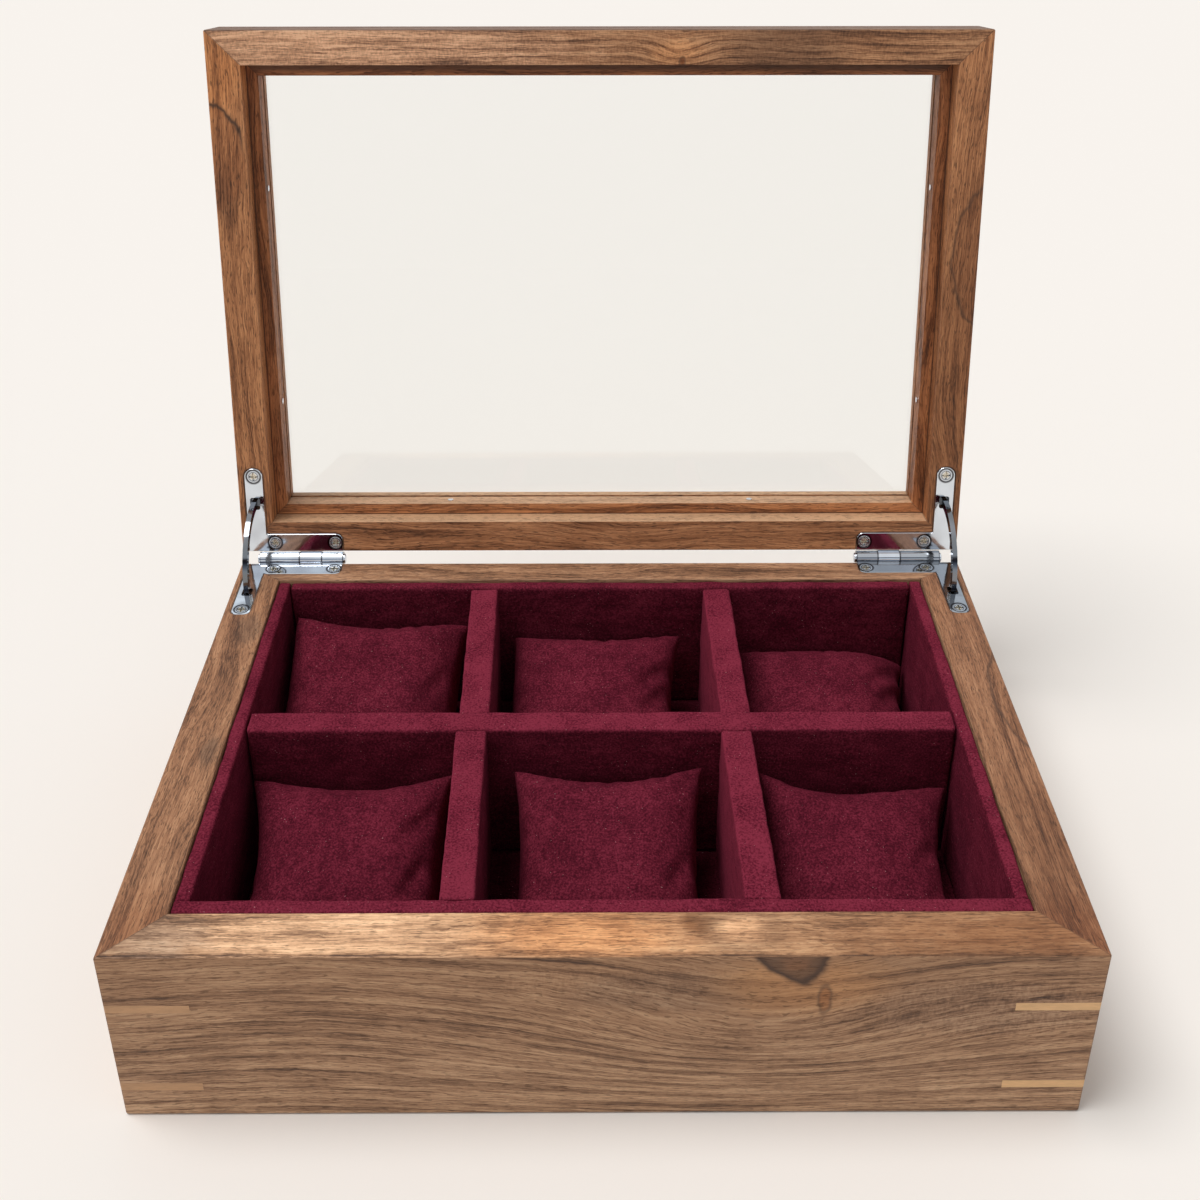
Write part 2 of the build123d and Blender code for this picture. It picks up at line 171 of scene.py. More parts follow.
class WatchBoxSuede(bpy.types.PropertyGroup):
    """Colours and nap of the suede."""

    colour: colour_property("Suede", "Nap between its lights and darks", (0.126, 0.0125, 0.027))
    brushed: colour_property("Brushed nap", "Nap that catches the light", (0.215, 0.0255, 0.049))
    crushed: colour_property("Crushed nap", "Nap that lies down", (0.066, 0.0068, 0.015))
    lint: colour_property("Lint", "The palest loose fibres", (0.55, 0.26, 0.27))
    nap_size: length_property("Nap size", "Size of the nap's speckle", 0.75 * MM)
    edge_round: length_property("Edge rounding", "Rounding of the dividers' top edges", 3.0 * MM)
    softness: length_property("Board softness", "How far the wrapped boards swell and dip", 0.3 * MM)
    cloth: length_property("Cloth", "How far the cloth stands over its board", 0.9 * MM)
    divider_shift: length_property("Divider shift", "How far the short front dividers lie right", 0.9 * MM)
    divider_slant: length_property("Divider slant", "How far a short divider's near end lies right", 1.5 * MM)


class WatchBoxPillows(bpy.types.PropertyGroup):
    """Sizes of the stuffed pillows."""

    pressure: FloatProperty(name="Pressure", description="Pressure of the filling", default=4.0)
    frames: IntProperty(name="Frames", description="Frames of cloth simulation", default=20)
    slack: share_property("Slack", "Spare cloth along the seams", 0.035)
    give: length_property("Give", "How far the cloth may move", 4.0 * MM)
    pucker: length_property("Puckers", "Depth of the small folds that run in from the seams", 0.9 * MM)
    pucker_reach: length_property("Pucker reach", "How far these folds run in", 7.0 * MM)
    lump: length_property("Lumps", "How uneven the filling is", 0.8 * MM)


class WatchBoxMetal(bpy.types.PropertyGroup):
    """Finish of the hinges, screws, pins and glass."""

    chrome: colour_property("Chrome", "Polished plate", (0.76, 0.81, 0.87))
    # Colour of the painted dark reflections in patches of the plate
    painted_dark_reflection: colour_property("Painted dark reflection", "Darker patches of the plate", (0.36, 0.36, 0.4))
    # Colour of the painted shade in the gaps round a screw head and between the barrel's knuckles, and of the
    # rings on a screw head
    gap: colour_property("Gap", "The dark line round a screw or a leaf", (0.02, 0.015, 0.015))
    brass: colour_property("Worn plate", "Where the plate is thin in the screw slots", (0.62, 0.53, 0.36))
    glass: colour_property("Glass", "The pane", (0.938, 0.948, 0.942))
    polish: share_property("Polish", "Roughness of the polished plate", 0.07)
    # These tones darken the plate's colour, which paints its reflections darker: the right base leaf and the
    # struts most
    leaf_painted_reflection_tone: share_property("Leaf tone", "How bright the hinge leaves are", 0.92)
    right_leaf_painted_reflection_tone: share_property("Right leaf tone", "How bright the base leaf at the right is", 0.52)
    strut_painted_reflection_tone: share_property("Strut tone", "How bright the curved struts are", 0.24)


class WatchBoxStage(bpy.types.PropertyGroup):
    """Floor, light and camera."""

    floor: colour_property("Floor", "The pale floor and backdrop", (0.93, 0.888, 0.84))
    bounce: share_property("Bounce", "Share of its light that the floor gives back to the box", 0.68)
    sky_light: share_property("Sky light", "Strength of the even light", 0.46)
    lamp: FloatProperty(name="Lamp", description="Strength of the soft lamp", default=1.86)
    lamp_spread: angle_property("Lamp spread", "Softness of its shadow", 32)
    lamp_place: place_property("Lamp place", "The side that the lamp shines from", (-0.36, -0.02, 0.93))
    eye: place_property("Eye", "Where the camera stands", (-0.00228, -0.43225, 0.4189))
    pitch: angle_property("Pitch", "How far the camera looks down", 27.51)
    yaw: angle_property("Yaw", "How far the camera looks right", 0.24)
    lens: FloatProperty(name="Lens", description="Focal length in millimetres", default=45.10)
    lens_shift: FloatProperty(name="Lens shift", description="How far the frame is lowered", default=-0.15)


class Value:
    """A number that varies over a surface. Python's operators on it add Math nodes."""

    def __init__(self, finish, socket):
        self.finish = finish
        self.socket = socket

    def math(self, operation, *others):
        """The result of one Math node on this value and the others."""
        return self.finish.value(
            "ShaderNodeMath", {"operation": operation}, dict(enumerate((self, *others)))
        )

    def __add__(self, other):
        return self.math("ADD", other)

    __radd__ = __add__

    def __sub__(self, other):
        return self.math("SUBTRACT", other)

    def __rsub__(self, other):
        return self * -1 + other

    def __mul__(self, other):
        return self.math("MULTIPLY", other)

    __rmul__ = __mul__

    def __truediv__(self, other):
        return self.math("DIVIDE", other)

    def __rtruediv__(self, other):
        return self ** -1 * other

    def __pow__(self, exponent):
        return self.math("POWER", exponent)

    def __abs__(self):
        return self.math("ABSOLUTE")

    def fraction(self):
        """What is left of a whole number."""
        return self.math("FRACT")

    def clipped(self):
        """The value held between 0 and 1."""
        return self.finish.value("ShaderNodeClamp", {}, {"Value": self})

    def step(self, low, high):
        """0 below low, 1 above high and a smooth rise between them."""
        return self.finish.value(
            "ShaderNodeMapRange",
            {"interpolation_type": "SMOOTHSTEP"},
            {"Value": self, "From Min": low, "From Max": high},
        )

    def hump(self, centre, width):
        """1 at the centre, and a bell curve of that width to both sides."""
        offset = (self - centre) / width
        return (offset * offset * -1).math("EXPONENT")


def extreme(operation, values):
    """The least of some values for MINIMUM, and the greatest for MAXIMUM."""
    return reduce(lambda one, other: one.math(operation, other), values)


class Finish:
    """One material, or the world, and the nodes that make it."""

    def __init__(self, name, kind="materials"):
        self.material = getattr(bpy.data, kind).new(name)
        self.material.use_nodes = True
        self.tree = self.material.node_tree
        self.tree.nodes.clear()

    def node(self, kind, settings=None, inputs=None):
        """Adds a node: first its settings, then the values or links of its sockets."""
        node = self.tree.nodes.new(kind)
        for name, setting in (settings or {}).items():
            if name == "stops":
                self.set_stops(node.color_ramp, setting)
            else:
                setattr(node, name, setting)
        for key, given in (inputs or {}).items():
            if isinstance(given, Value):
                self.tree.links.new(given.socket, node.inputs[key])
            elif given is not None:
                node.inputs[key].default_value = given
        return node

    def set_stops(self, ramp, stops):
        """Gives a colour ramp its stops, each a place and a colour."""
        while len(ramp.elements) < len(stops):
            ramp.elements.new(1)
        for element, (place, colour) in zip(ramp.elements, stops):
            element.position = place
            element.color = (*colour, 1)

    def value(self, kind, settings=None, inputs=None, output=0):
        """One output of a new node."""
        return Value(self, self.node(kind, settings, inputs).outputs[output])

    def vector(self, x, y, z):
        """A vector from three numbers or values."""
        return self.value("ShaderNodeCombineXYZ", {}, {0: x, 1: y, 2: z})

    def vectors(self, operation, first, second, output=0):
        """The result of one Vector Math node."""
        return self.value("ShaderNodeVectorMath", {"operation": operation}, {0: first, 1: second}, output)

    def dot(self, first, second):
        """How far a vector reaches along another."""
        return self.vectors("DOT_PRODUCT", first, second, "Value")

    def place(self, origin=(0, 0, 0)):
        """The point on the object, in millimetres from an origin in metres."""
        point = self.value("ShaderNodeTexCoord", output="Object")
        moved = self.vectors("SUBTRACT", point, origin)
        node = self.node("ShaderNodeVectorMath", {"operation": "SCALE"}, {0: moved, "Scale": 1 / MM})
        return Value(self, node.outputs[0])

    def facing(self, direction):
        """How far the surface faces a direction of the object."""
        return self.dot(self.value("ShaderNodeTexCoord", output="Normal"), direction)

    def rays(self, *kinds):
        """1 for rays of these kinds, and 0 for all others."""
        found = [self.value("ShaderNodeLightPath", output=f"Is {kind} Ray") for kind in kinds]
        return extreme("MAXIMUM", found)

    def noise(self, point, scale=1.0, detail=1.0, roughness=0.5):
        """Smooth noise about one half."""
        inputs = {"Vector": point, "Scale": scale, "Detail": detail, "Roughness": roughness}
        return self.value("ShaderNodeTexNoise", {}, inputs)

    def drawn(self, lengths, sizes, detail=1.0, roughness=0.5):
        """Noise about one half, drawn out by a size of its own along each of three lengths."""
        point = self.vector(*(length / size for length, size in zip(lengths, sizes)))
        return self.noise(point, detail=detail, roughness=roughness)

    def mix(self, factor, first, second, blend="MIX"):
        """A colour between two colours."""
        settings = {"data_type": "RGBA", "blend_type": blend}
        inputs = {0: factor, 6: self.opaque(first), 7: self.opaque(second)}
        return self.value("ShaderNodeMix", settings, inputs, 2)

    def opaque(self, colour):
        """A colour with the alpha that a colour socket takes."""
        return colour if isinstance(colour, Value) else (*colour, 1)

    def ramp(self, factor, stops):
        """A colour from a ramp."""
        return self.value("ShaderNodeValToRGB", {"stops": stops}, {0: factor})

    def bump(self, height, depth, strength=1.0):
        """A normal from a height, whose full range is depth in metres."""
        inputs = {"Height": height, "Distance": depth, "Strength": strength}
        return self.value("ShaderNodeBump", {}, inputs)

    def surface(self, inputs, settings=None):
        """Ends the material in one Principled shader."""
        shader = self.value("ShaderNodeBsdfPrincipled", settings, inputs)
        self.show(shader)
        return self.material

    def show(self, shader):
        """Ends the material in a shader."""
        self.node("ShaderNodeOutputMaterial", {}, {"Surface": shader})


def add_object(name, data):
    """Puts a new object with its mesh, lamp or camera into the scene."""
    made = bpy.data.objects.new(name, data)
    bpy.context.scene.collection.objects.link(made)
    return made


def wear(node, material):
    """Gives a carried-over solid its material."""
    mesh = node.data
    mesh.materials.clear()
    mesh.materials.append(material)
    mesh.polygons.foreach_set("material_index", [0] * len(mesh.polygons))


@dataclass
class Swell:
    """Where growth rings bow round a knot, or where they calm down.

    Its place along and across, its widths, and the height of the bow or the share that the rings lose.
    """

    along: float
    across: float
    long: float
    wide: float
    height: float


@dataclass
class Mark:
    """A patch of a board, in millimetres along it and across it, or into it for a mark on the rim's top.

    The tint is multiplied in inside the patch, and the line colour is laid on its outline. Power gives the
    outline's shape, from 1 for a diamond to 2 for an ellipse, and skew moves its far end along the board.
    An open end has no outline at the end where the board starts.
    """

    along: float
    across: float
    long: float
    wide: float
    tint: tuple = (1.0, 1.0, 1.0)
    soft: float = 0.45
    ragged: float = 0.5
    outline: float = 0.0
    line_width: float = 0.09
    power: float = 2.0
    skew: float = 0.0
    open_end: bool = False
    top: bool = False


@dataclass
class Streak:
    """One dark line that follows the grain: its level, its width, its strength and where it runs."""

    level: float
    width: float
    strength: float
    along: float = 0.0
    long: float = 400.0


@dataclass
class Board:
    """How the grain lies in one board. Lengths are in millimetres."""

    along: Vector
    across: Vector
    depth: Vector
    origin: Vector = Vector((0, 0, 0))
    shift: tuple = (0.0, 0.0, 0.0)
    tint: tuple = (1.0, 1.0, 1.0)
    top_tint: tuple = (1.0, 1.0, 1.0)
    # painted_edge_light paints the faces that face the lid's reach: a painted highlight when positive,
    # painted shade when negative
    painted_edge_light: float = 0.0
    lean: float = 0.55
    bend: float = 6.0
    ring_strength: float = 0.34
    mottle: float = 0.45
    chatter: float = 0.12
    swells: tuple = ()
    calms: tuple = ()
    marks: tuple = ()
    streaks: tuple = ()
    chatters: tuple = ()
    fibre: float = 1.7
    pores: float = 0.62
    hair: float = 0.55
    leaf_round: float = 0.0
    # A band of painted shade along a bead where it meets its rail: its direction, its place and its width, in
    # millimetres
    painted_shade_along: Vector = None
    painted_shade_at: float = 0.0
    painted_shade_width: float = 0.7

    @property
    def on_lid(self):
        """Whether the board is measured from the lid's hinge axis."""
        return self.origin == LID_AXIS


# The figure of walnut: sizes in millimetres along the grain, across it and into the board. A last size of 1
# stands where a fixed number takes the place of the third length, which gives each noise its own pattern.
WANDER = (110, 60, 60)
RIPPLE = (11, 4, 7)
UNEVENNESS = (400, 9, 1)
PRESENCE = (60, 6, 1)
HAIR_PRESENCE = (35, 4, 1)
FIBRE = (14, 0.5, 0.7)
CLOUD = (70, 3.6, 5)
MOTTLE = (26, 12, 12)
CURL = (0.8, 1.7, 1.7)
RAGGED = (8, 5, 5)
UNEVEN_SLICE, PRESENCE_SLICE, HAIR_SLICE = 0.5, 3.5, 8.5

# Where each part of the figure starts and where it is full: in its noise, and in turns of a ring
PRESENCE_RISE = (0.34, 0.6)
HAIR_RISE = (0.38, 0.6)
PORE_RISE = (0.59, 0.67)
EDGE_FALL = (0.0, 0.2)
HAIR_FALL = (0.0, 0.35)
TAIL_RISE = (0.35, 1.0)

# How squarely a surface faces a direction where a finish, and the suede's painted light, start to show and
# where they are full
TOP_FACING = (0.6, 0.8)
SQUARE_FACING = (0.5, 0.9)
PAINTED_TOP_FACING = (0.35, 0.95)
PAINTED_WEST_FACING = (0.3, 0.95)
ARRIS_FACING = (0.55, 0.3)

# Where the dark line at a joint and the painted shade in the gap round a leaf fade out, in millimetres
JOINT_FADE = (0.05, 0.3)
LEAF_FADE = (0.2, 0.65)

# Where curl in a patch, the tint of a mark and the outline at its open end fade, in sizes of the patch
CHATTER_FADE = (0.4, 1.3)
MARK_SPILL = 0.4
OPEN_END_FADE = (-0.1, 0.5)

# How far the figure moves the rings, in millimetres for the bend and the ripple and in rings for the others
BEND_SCALE = 4
RIPPLE_HEIGHT = 1.7
RING_UNEVENNESS = 2.2
HAIRS_IN_A_RING = 2.7
HAIR_UNEVENNESS = 4

# How strongly each part of the figure darkens the wood, from 0 for the palest to 1 for the darkest
MIDDLE_TONE = 0.3
TAIL_SHARE = 0.62
CLOUD_SHARE = 0.7
TONE_STOPS = (0.0, 0.36, 0.68, 1.0)
# How dark the painted shade round the hinge leaves and along the beads is
PAINTED_SHADE_STRENGTH = 0.85
# The share of that band of painted shade that is fully dark
PAINTED_SHADE_CORE = 0.36
PORES_AT_RINGS = 0.05
JOINT_DARKNESS = 0.55
ARRIS_DARKNESS = 0.3

# The same for a corner key, and the share of its colour that the darkest fibre keeps
KEY_FIBRE = (9, 0.5, 2)
KEY_CLOUD = (15, 3, 9)
KEY_DARKEST = 0.72


class Walnut(Finish):
    """Oiled walnut with growth rings, fibre streaks, open pores, mottled tone, knots and dark lines."""

    def __init__(self, name, board, wood):
        super().__init__(name)
        self.board = board
        self.wood = wood
        self.point = self.place(board.origin)
        self.true_along, self.true_across, self.true_deep = (
            self.dot(self.point, direction) for direction in (board.along, board.across, board.depth)
        )
        self.along = self.true_along + board.shift[0]
        self.across = self.true_across + board.shift[1]
        self.deep = self.true_deep + board.shift[2]
        self.east = abs(self.dot(self.point, EAST))
        self.north = self.dot(self.point, LID_REACH if board.on_lid else NORTH)
        if board.on_lid:
            self.north = self.north - LID_CENTRE
        self.body = (self.along, self.across, self.deep)
        self.top = self.facing(UP).step(*TOP_FACING)
        self.side = 1 - self.top
        self.lay_grain()

    def lay_grain(self):
        """Works out how the grain flows through the board, and the fibre that follows it."""
        board = self.board
        wander = self.drawn(self.body, WANDER) - 0.5
        level = self.across + self.deep * board.lean + wander * board.bend * BEND_SCALE
        for swell in board.swells:
            level = level + self.swelling(swell) * swell.height
        ripple = self.drawn((self.along, level, self.deep), RIPPLE, 3, 0.6) - 0.5
        self.level = level
        self.flow = level + ripple * RIPPLE_HEIGHT
        self.grain = (self.along, self.flow, self.deep)
        self.fibre = self.drawn(self.grain, FIBRE, 3, 0.75) - 0.5

    def swelling(self, swell):
        """1 in the middle of a swell on the board's face, and none far from it or on the top."""
        along = self.true_along.hump(swell.along, swell.long)
        return along * self.true_across.hump(swell.across, swell.wide) * self.side

    def rings(self):
        """The dark edges, the fading tails and the hair lines of the growth rings."""
        turn = self.flow / (self.wood.ring_spacing / MM)
        uneven = self.drawn((self.along, self.level, UNEVEN_SLICE), UNEVENNESS, 0)
        ring = (turn + uneven * RING_UNEVENNESS).fraction()
        presence = self.drawn((self.along, self.flow, PRESENCE_SLICE), PRESENCE).step(*PRESENCE_RISE)
        edge = (1 - ring.step(*EDGE_FALL)) * presence
        tail = ring.step(*TAIL_RISE) * presence
        hair = 1 - (turn * HAIRS_IN_A_RING + uneven * HAIR_UNEVENNESS).fraction().step(*HAIR_FALL)
        present = self.drawn((self.along, self.flow, HAIR_SLICE), HAIR_PRESENCE).step(*HAIR_RISE)
        return edge, tail, hair * present

    def tone(self, edge, tail, hair):
        """How dark the wood is, from its rings, its fibre and the board's own streaks."""
        board = self.board
        cloud = self.drawn(self.grain, CLOUD) - 0.5
        mottle = self.drawn(self.body, MOTTLE, 2) - 0.5
        curl = self.drawn(self.body, CURL, 2) - 0.5
        chatter = board.chatter
        for patch in board.chatters:
            distance = ((self.true_along - patch.along) / patch.long) ** 2
            distance = distance + ((self.true_across - patch.across) / patch.wide) ** 2
            chatter = (1 - distance.step(*CHATTER_FADE)) * patch.soft + chatter
        tone = (edge + tail * TAIL_SHARE + hair * board.hair) * board.ring_strength
        tone = tone + self.fibre * board.fibre + cloud * CLOUD_SHARE
        tone = tone + mottle * board.mottle + curl * chatter + MIDDLE_TONE
        for calm in board.calms:
            tone = tone + (MIDDLE_TONE - tone) * self.swelling(calm) * calm.height
        for streak in board.streaks:
            line = self.flow.hump(streak.level, streak.width)
            line = line * self.true_along.hump(streak.along, streak.long)
            tone = tone + line * self.side * (self.fibre + 1) * streak.strength
        return tone

    def darkened(self, colour, share):
        """The colour with a share of the darkest wood laid over it."""
        return self.mix(share, colour, self.wood.dark)

    def tinted(self, colour):
        """The colour with the board's own tints, the painted light on its edge and its marks."""
        board = self.board
        colour = self.mix(1.0, colour, self.mix(self.top, board.tint, board.top_tint), "MULTIPLY")
        # Painted light on the faces that face the lid's reach: pale wood as a highlight for a positive
        # strength, dark wood as shade for a negative one
        if board.painted_edge_light:
            painted_edge_colour = self.wood.pale if board.painted_edge_light > 0 else self.wood.dark
            painted_edge_mask = self.facing(LID_REACH).step(*SQUARE_FACING)
            colour = self.mix(painted_edge_mask * abs(board.painted_edge_light), colour, painted_edge_colour)
        ragged = self.drawn(self.body, RAGGED, 3) - 0.5
        for mark in board.marks:
            colour = self.marked(colour, mark, ragged)
        return colour

    def marked(self, colour, mark, ragged):
        """The colour with one mark on it, and the mark's outline."""
        reach = (self.true_deep if mark.top else self.true_across) - mark.across
        along = self.true_along - mark.along
        offset = (abs(along + reach * mark.skew) / mark.long) ** mark.power
        distance = (offset + (abs(reach) / mark.wide) ** mark.power) ** (1 / mark.power)
        distance = distance + ragged * mark.ragged
        face = self.top if mark.top else self.side
        inside = (1 - distance.step(1 - mark.soft, 1 + mark.soft * MARK_SPILL)) * face
        colour = self.mix(inside, colour, mark.tint, "MULTIPLY")
        if not mark.outline:
            return colour
        outline = distance.hump(1.0, mark.line_width) * mark.outline * face
        if not mark.top:
            outline = outline * (1 - abs(self.facing(self.board.across)).step(*SQUARE_FACING))
        if mark.open_end:
            outline = outline * (along / mark.long).step(*OPEN_END_FADE)
        return self.darkened(colour, outline)

    def joined(self, colour):
        """The colour with the dark lines at the mitres and the arris, painted shade in the gaps round the
        hinge leaves and painted shade along the beads where they meet the rails.
        """
        board = self.board
        joint = 1 - self.mitre_distance().step(*JOINT_FADE)
        arris = self.facing(UP).hump(*ARRIS_FACING)
        colour = self.darkened(colour, arris * ARRIS_DARKNESS + joint * JOINT_DARKNESS)
        # Painted shade in the gap round each hinge leaf
        if board.leaf_round:
            shadow = 1 - self.leaf_distance().step(*LEAF_FADE)
            leaf_side = self.facing(-LID_OUTWARD if board.on_lid else UP).step(*SQUARE_FACING)
            colour = self.darkened(colour, shadow * leaf_side * PAINTED_SHADE_STRENGTH)
        # Painted shade in a band along the bead where it meets the rail
        if board.painted_shade_along:
            distance = abs(self.dot(self.point, board.painted_shade_along) - board.painted_shade_at)
            gap = 1 - distance.step(board.painted_shade_width * PAINTED_SHADE_CORE, board.painted_shade_width)
            colour = self.darkened(colour, gap * PAINTED_SHADE_STRENGTH)
        return colour

    def leaf_distance(self):
        """Distance in millimetres outside the L shaped recess of a hinge leaf, the same on both hands."""
        back = abs(self.north)
        outer = HALF_WIDTH - LEAF_INSET
        arms = []
        for x_low, y_low, rounding in (
            (outer - LEAF_WIDTH, HALF_DEPTH - SIDE_ARM, self.board.leaf_round),
            (outer - BACK_ARM, HALF_DEPTH - LEAF_WIDTH, ARM_ROUND),
        ):
            x_part = abs(self.east - (x_low + outer) / 2) - (outer - x_low) / 2 + rounding
            y_part = (y_low + rounding) - back
            squares = x_part.math("MAXIMUM", 0) ** 2 + y_part.math("MAXIMUM", 0) ** 2
            arms.append(squares ** 0.5 - rounding)
        in_front = 1 - (self.north * (-1 if self.board.on_lid else 1)).step(0, 1)
        return extreme("MINIMUM", arms) + in_front * FAR

    def mitre_distance(self):
        """Distance in millimetres from the nearest mitred joint of the case or the lid."""
        side = self.east - HALF_WIDTH
        if self.board.on_lid:
            return abs(side - (abs(self.north) - HALF_DEPTH))
        slope = (BACK_WALL - MITRE_START) / (WALL - MITRE_START)
        rear = abs((side + MITRE_START) * slope - (self.north - HALF_DEPTH + MITRE_START))
        return rear.math("MINIMUM", abs(side - (-1 * self.north - HALF_DEPTH)))

    def build(self):
        """Ends the finish in its material."""
        wood = self.wood
        edge, tail, hair = self.rings()
        shades = (wood.pale, wood.light, wood.brown, wood.dark)
        colour = self.ramp(self.tone(edge, tail, hair), tuple(zip(TONE_STOPS, shades)))
        colour = self.tinted(colour)
        pore = (wood.pore_length / MM, wood.pore_width / MM, wood.pore_width / MM)
        pores = self.drawn(self.grain, pore) + (edge + tail) * PORES_AT_RINGS
        pores = pores.step(*PORE_RISE)
        colour = self.mix(pores * self.board.pores, colour, wood.pore)
        return self.surface(
            {
                "Base Color": self.joined(colour),
                "Roughness": wood.roughness + self.fibre * 0.2 + pores * 0.2,
                "Specular IOR Level": 0.32,
                "Normal": self.bump(self.fibre * 0.5 - pores, 0.12 * MM, 0.6),
            }
        )


def key_wood(name, colour):
    """Planed wood of a thin corner key, with fine straight grain that runs across the corner."""
    finish = Finish(name)
    point = finish.place()
    lengths = [finish.dot(point, direction) for direction in ((0.7, 0.7, 0), UP, (0.7, -0.7, 0))]
    fibre = finish.drawn(lengths, KEY_FIBRE, 3)
    cloud = finish.drawn(lengths, KEY_CLOUD)
    darker = tuple(part * KEY_DARKEST for part in colour)
    shade = finish.mix((fibre + cloud - 0.55).clipped(), colour, darker)
    return finish.surface(
        {"Base Color": shade, "Roughness": fibre * 0.2 + 0.42, "Normal": finish.bump(fibre, 0.05 * MM, 0.4)}
    )


# Sizes of the suede's strokes, patches and pale fibres in millimetres, and how strongly each part shows
STROKE_SIZE = 3.2
PATCH_SIZE = 17
STRAY_SIZE = 0.5
SPECKLE_SHARE, STROKE_SHARE, PATCH_SHARE = 2.6, 0.9, 0.8
NAP_STOPS = (0.05, 0.5, 1.0)
LINT_RISE = (0.825, 0.88)
# The share of facing up at which the painted top light neither lightens nor darkens the nap
PAINTED_LIGHT_LEVEL = 0.35


def suede(name, fabric, nap_lay=(1.0, 1.0, 1.0), tone=1.0, painted_top_light=0.0, painted_west_light=0.0):
    """Suede with a speckled nap, brushed and crushed patches and a few pale fibres.

    The nap lay stretches the strokes, less along the axis where it is smaller. The painted top light is how
    much lighter the suede is painted on faces that face up, and darker on upright ones, and the painted west
    light how much lighter on faces to the left.
    """
    finish = Finish(name)
    point = finish.place()
    grain = fabric.nap_size / MM
    speckle = finish.noise(point, 1 / grain, detail=2, roughness=0.65)
    lay = finish.vectors("MULTIPLY", point, nap_lay)
    strokes = finish.noise(lay, 1 / STROKE_SIZE, detail=3, roughness=0.55)
    patches = finish.noise(point, 1 / PATCH_SIZE, detail=2)
    stray = finish.noise(point, 1 / STRAY_SIZE, detail=0)
    nap = (speckle - 0.5) * SPECKLE_SHARE + (strokes - 0.5) * STROKE_SHARE
    nap = nap + (patches - 0.5) * PATCH_SHARE + 0.5
    # Painted light and shade: faces that face up are painted lighter and upright ones darker, and faces to
    # the left lighter
    painted_top_share = finish.facing(UP).step(*PAINTED_TOP_FACING)
    nap = nap + (painted_top_share - PAINTED_LIGHT_LEVEL) * painted_top_light + finish.facing(-EAST).step(*PAINTED_WEST_FACING) * painted_west_light
    shades = (fabric.crushed, fabric.colour, fabric.brushed)
    shades = [tuple(part * tone for part in shade) for shade in shades]
    colour = finish.ramp(nap, tuple(zip(NAP_STOPS, shades)))
    colour = finish.mix(stray.step(*LINT_RISE) * 0.8, colour, fabric.lint)
    return finish.surface(
        {
            "Base Color": colour,
            "Roughness": 0.95,
            "Specular IOR Level": 0.02,
            "Sheen Weight": 0.05,
            "Sheen Roughness": 0.5,
            "Sheen Tint": (0.9, 0.12, 0.25, 1),
            "Normal": finish.bump(speckle + strokes * 0.8, 0.25 * MM, 0.7),
        }
    )


# Sizes of the plate's wipe marks, waves and patches of painted dark reflection and of a screw's marks, in
# millimetres
WIPE_SIZE, WAVE_SIZE, PAINTED_REFLECTION_SIZE, SCREW_MARK_SIZE = 2.5, 7, 13, 0.7
PAINTED_REFLECTION_RISE = (0.4, 0.75)
TURNING_RATE = 9

# Dark rings of painted shade about a screw and between the barrel's knuckles, and a screw's bright middle:
# how far out in millimetres, and how wide
HOLE_RING = (3.05, 0.36)
HEAD_RING = (2.85, 0.34)
BEVEL_RING = (1.95, 0.22)
WORN_REACH = (0.9, 2.0)
KNUCKLE_LINE = 0.3
SCREW_APART = 7


def screw_middles(node, reach):
    """Where the screws of a node stand, in millimetres along X and along the reach of their leaf."""
    groups = []
    for vertex in node.data.vertices:
        spot = Vector((vertex.co.x, vertex.co.dot(reach))) / MM
        for group in groups:
            if (spot - group[0]).length < SCREW_APART:
                group.append(spot)
                break
        else:
            groups.append([spot])
    return [
        [(min(spot[i] for spot in group) + max(spot[i] for spot in group)) / 2 for i in range(2)]
        for group in groups
    ]


def screw_distance(finish, middles, reach):
    """Distance in millimetres from the axis of the nearest screw."""
    point = finish.place()
    across = finish.dot(point, EAST)
    along = finish.dot(point, reach)
    return extreme("MINIMUM", [(across - x) ** 2 + (along - y) ** 2 for x, y in middles]) ** 0.5


def polished_plate(name, metal, middles=(), reach=NORTH, tone=1.0):
    """Polished plate with faint wipe marks, painted dark reflections in patches, and painted shade in the gap
    round each screw and between the barrel's knuckles.
    """
    finish = Finish(name)
    point = finish.place()
    marks = finish.noise(point, 1 / WIPE_SIZE, detail=3)
    waves = finish.noise(point, 1 / WAVE_SIZE, detail=1)
    # Painted reflection: noise patches where the plate is painted darker
    painted_reflection_share = finish.noise(point, 1 / PAINTED_REFLECTION_SIZE, detail=1).step(*PAINTED_REFLECTION_RISE)
    # The tone darkens the chrome, which paints the plate's reflections darker
    bright = tuple(part * tone for part in metal.chrome)
    colour = finish.mix(painted_reflection_share * 0.45, bright, metal.painted_dark_reflection)
    if middles:
        # Painted shade in the gap round each screw head
        ring = screw_distance(finish, middles, reach).hump(*HOLE_RING)
        colour = finish.mix(ring * 0.9, colour, metal.gap)
        axle = finish.place(LID_AXIS)
        spoke = finish.vectors("MULTIPLY", axle, (0, 1, 1))
        from_axle = finish.vectors("LENGTH", spoke, (0, 0, 0), "Value")
        side = abs(finish.dot(axle, EAST))
        on_barrel = 1 - from_axle.step(BARREL_REACH, BARREL_REACH + 0.2)
        # Painted shade in the gaps between the barrel's knuckles
        for end in KNUCKLE_ENDS:
            colour = finish.mix(side.hump(end, KNUCKLE_LINE) * on_barrel * 0.9, colour, metal.gap)
    roughness = metal.polish + (marks - 0.45).clipped() * 0.18
    return finish.surface(
        {
            "Base Color": colour,
            "Metallic": 1.0,
            "Roughness": roughness,
            "Normal": finish.bump(waves + marks * 0.1, 0.1 * MM, 0.6),
        }
    )


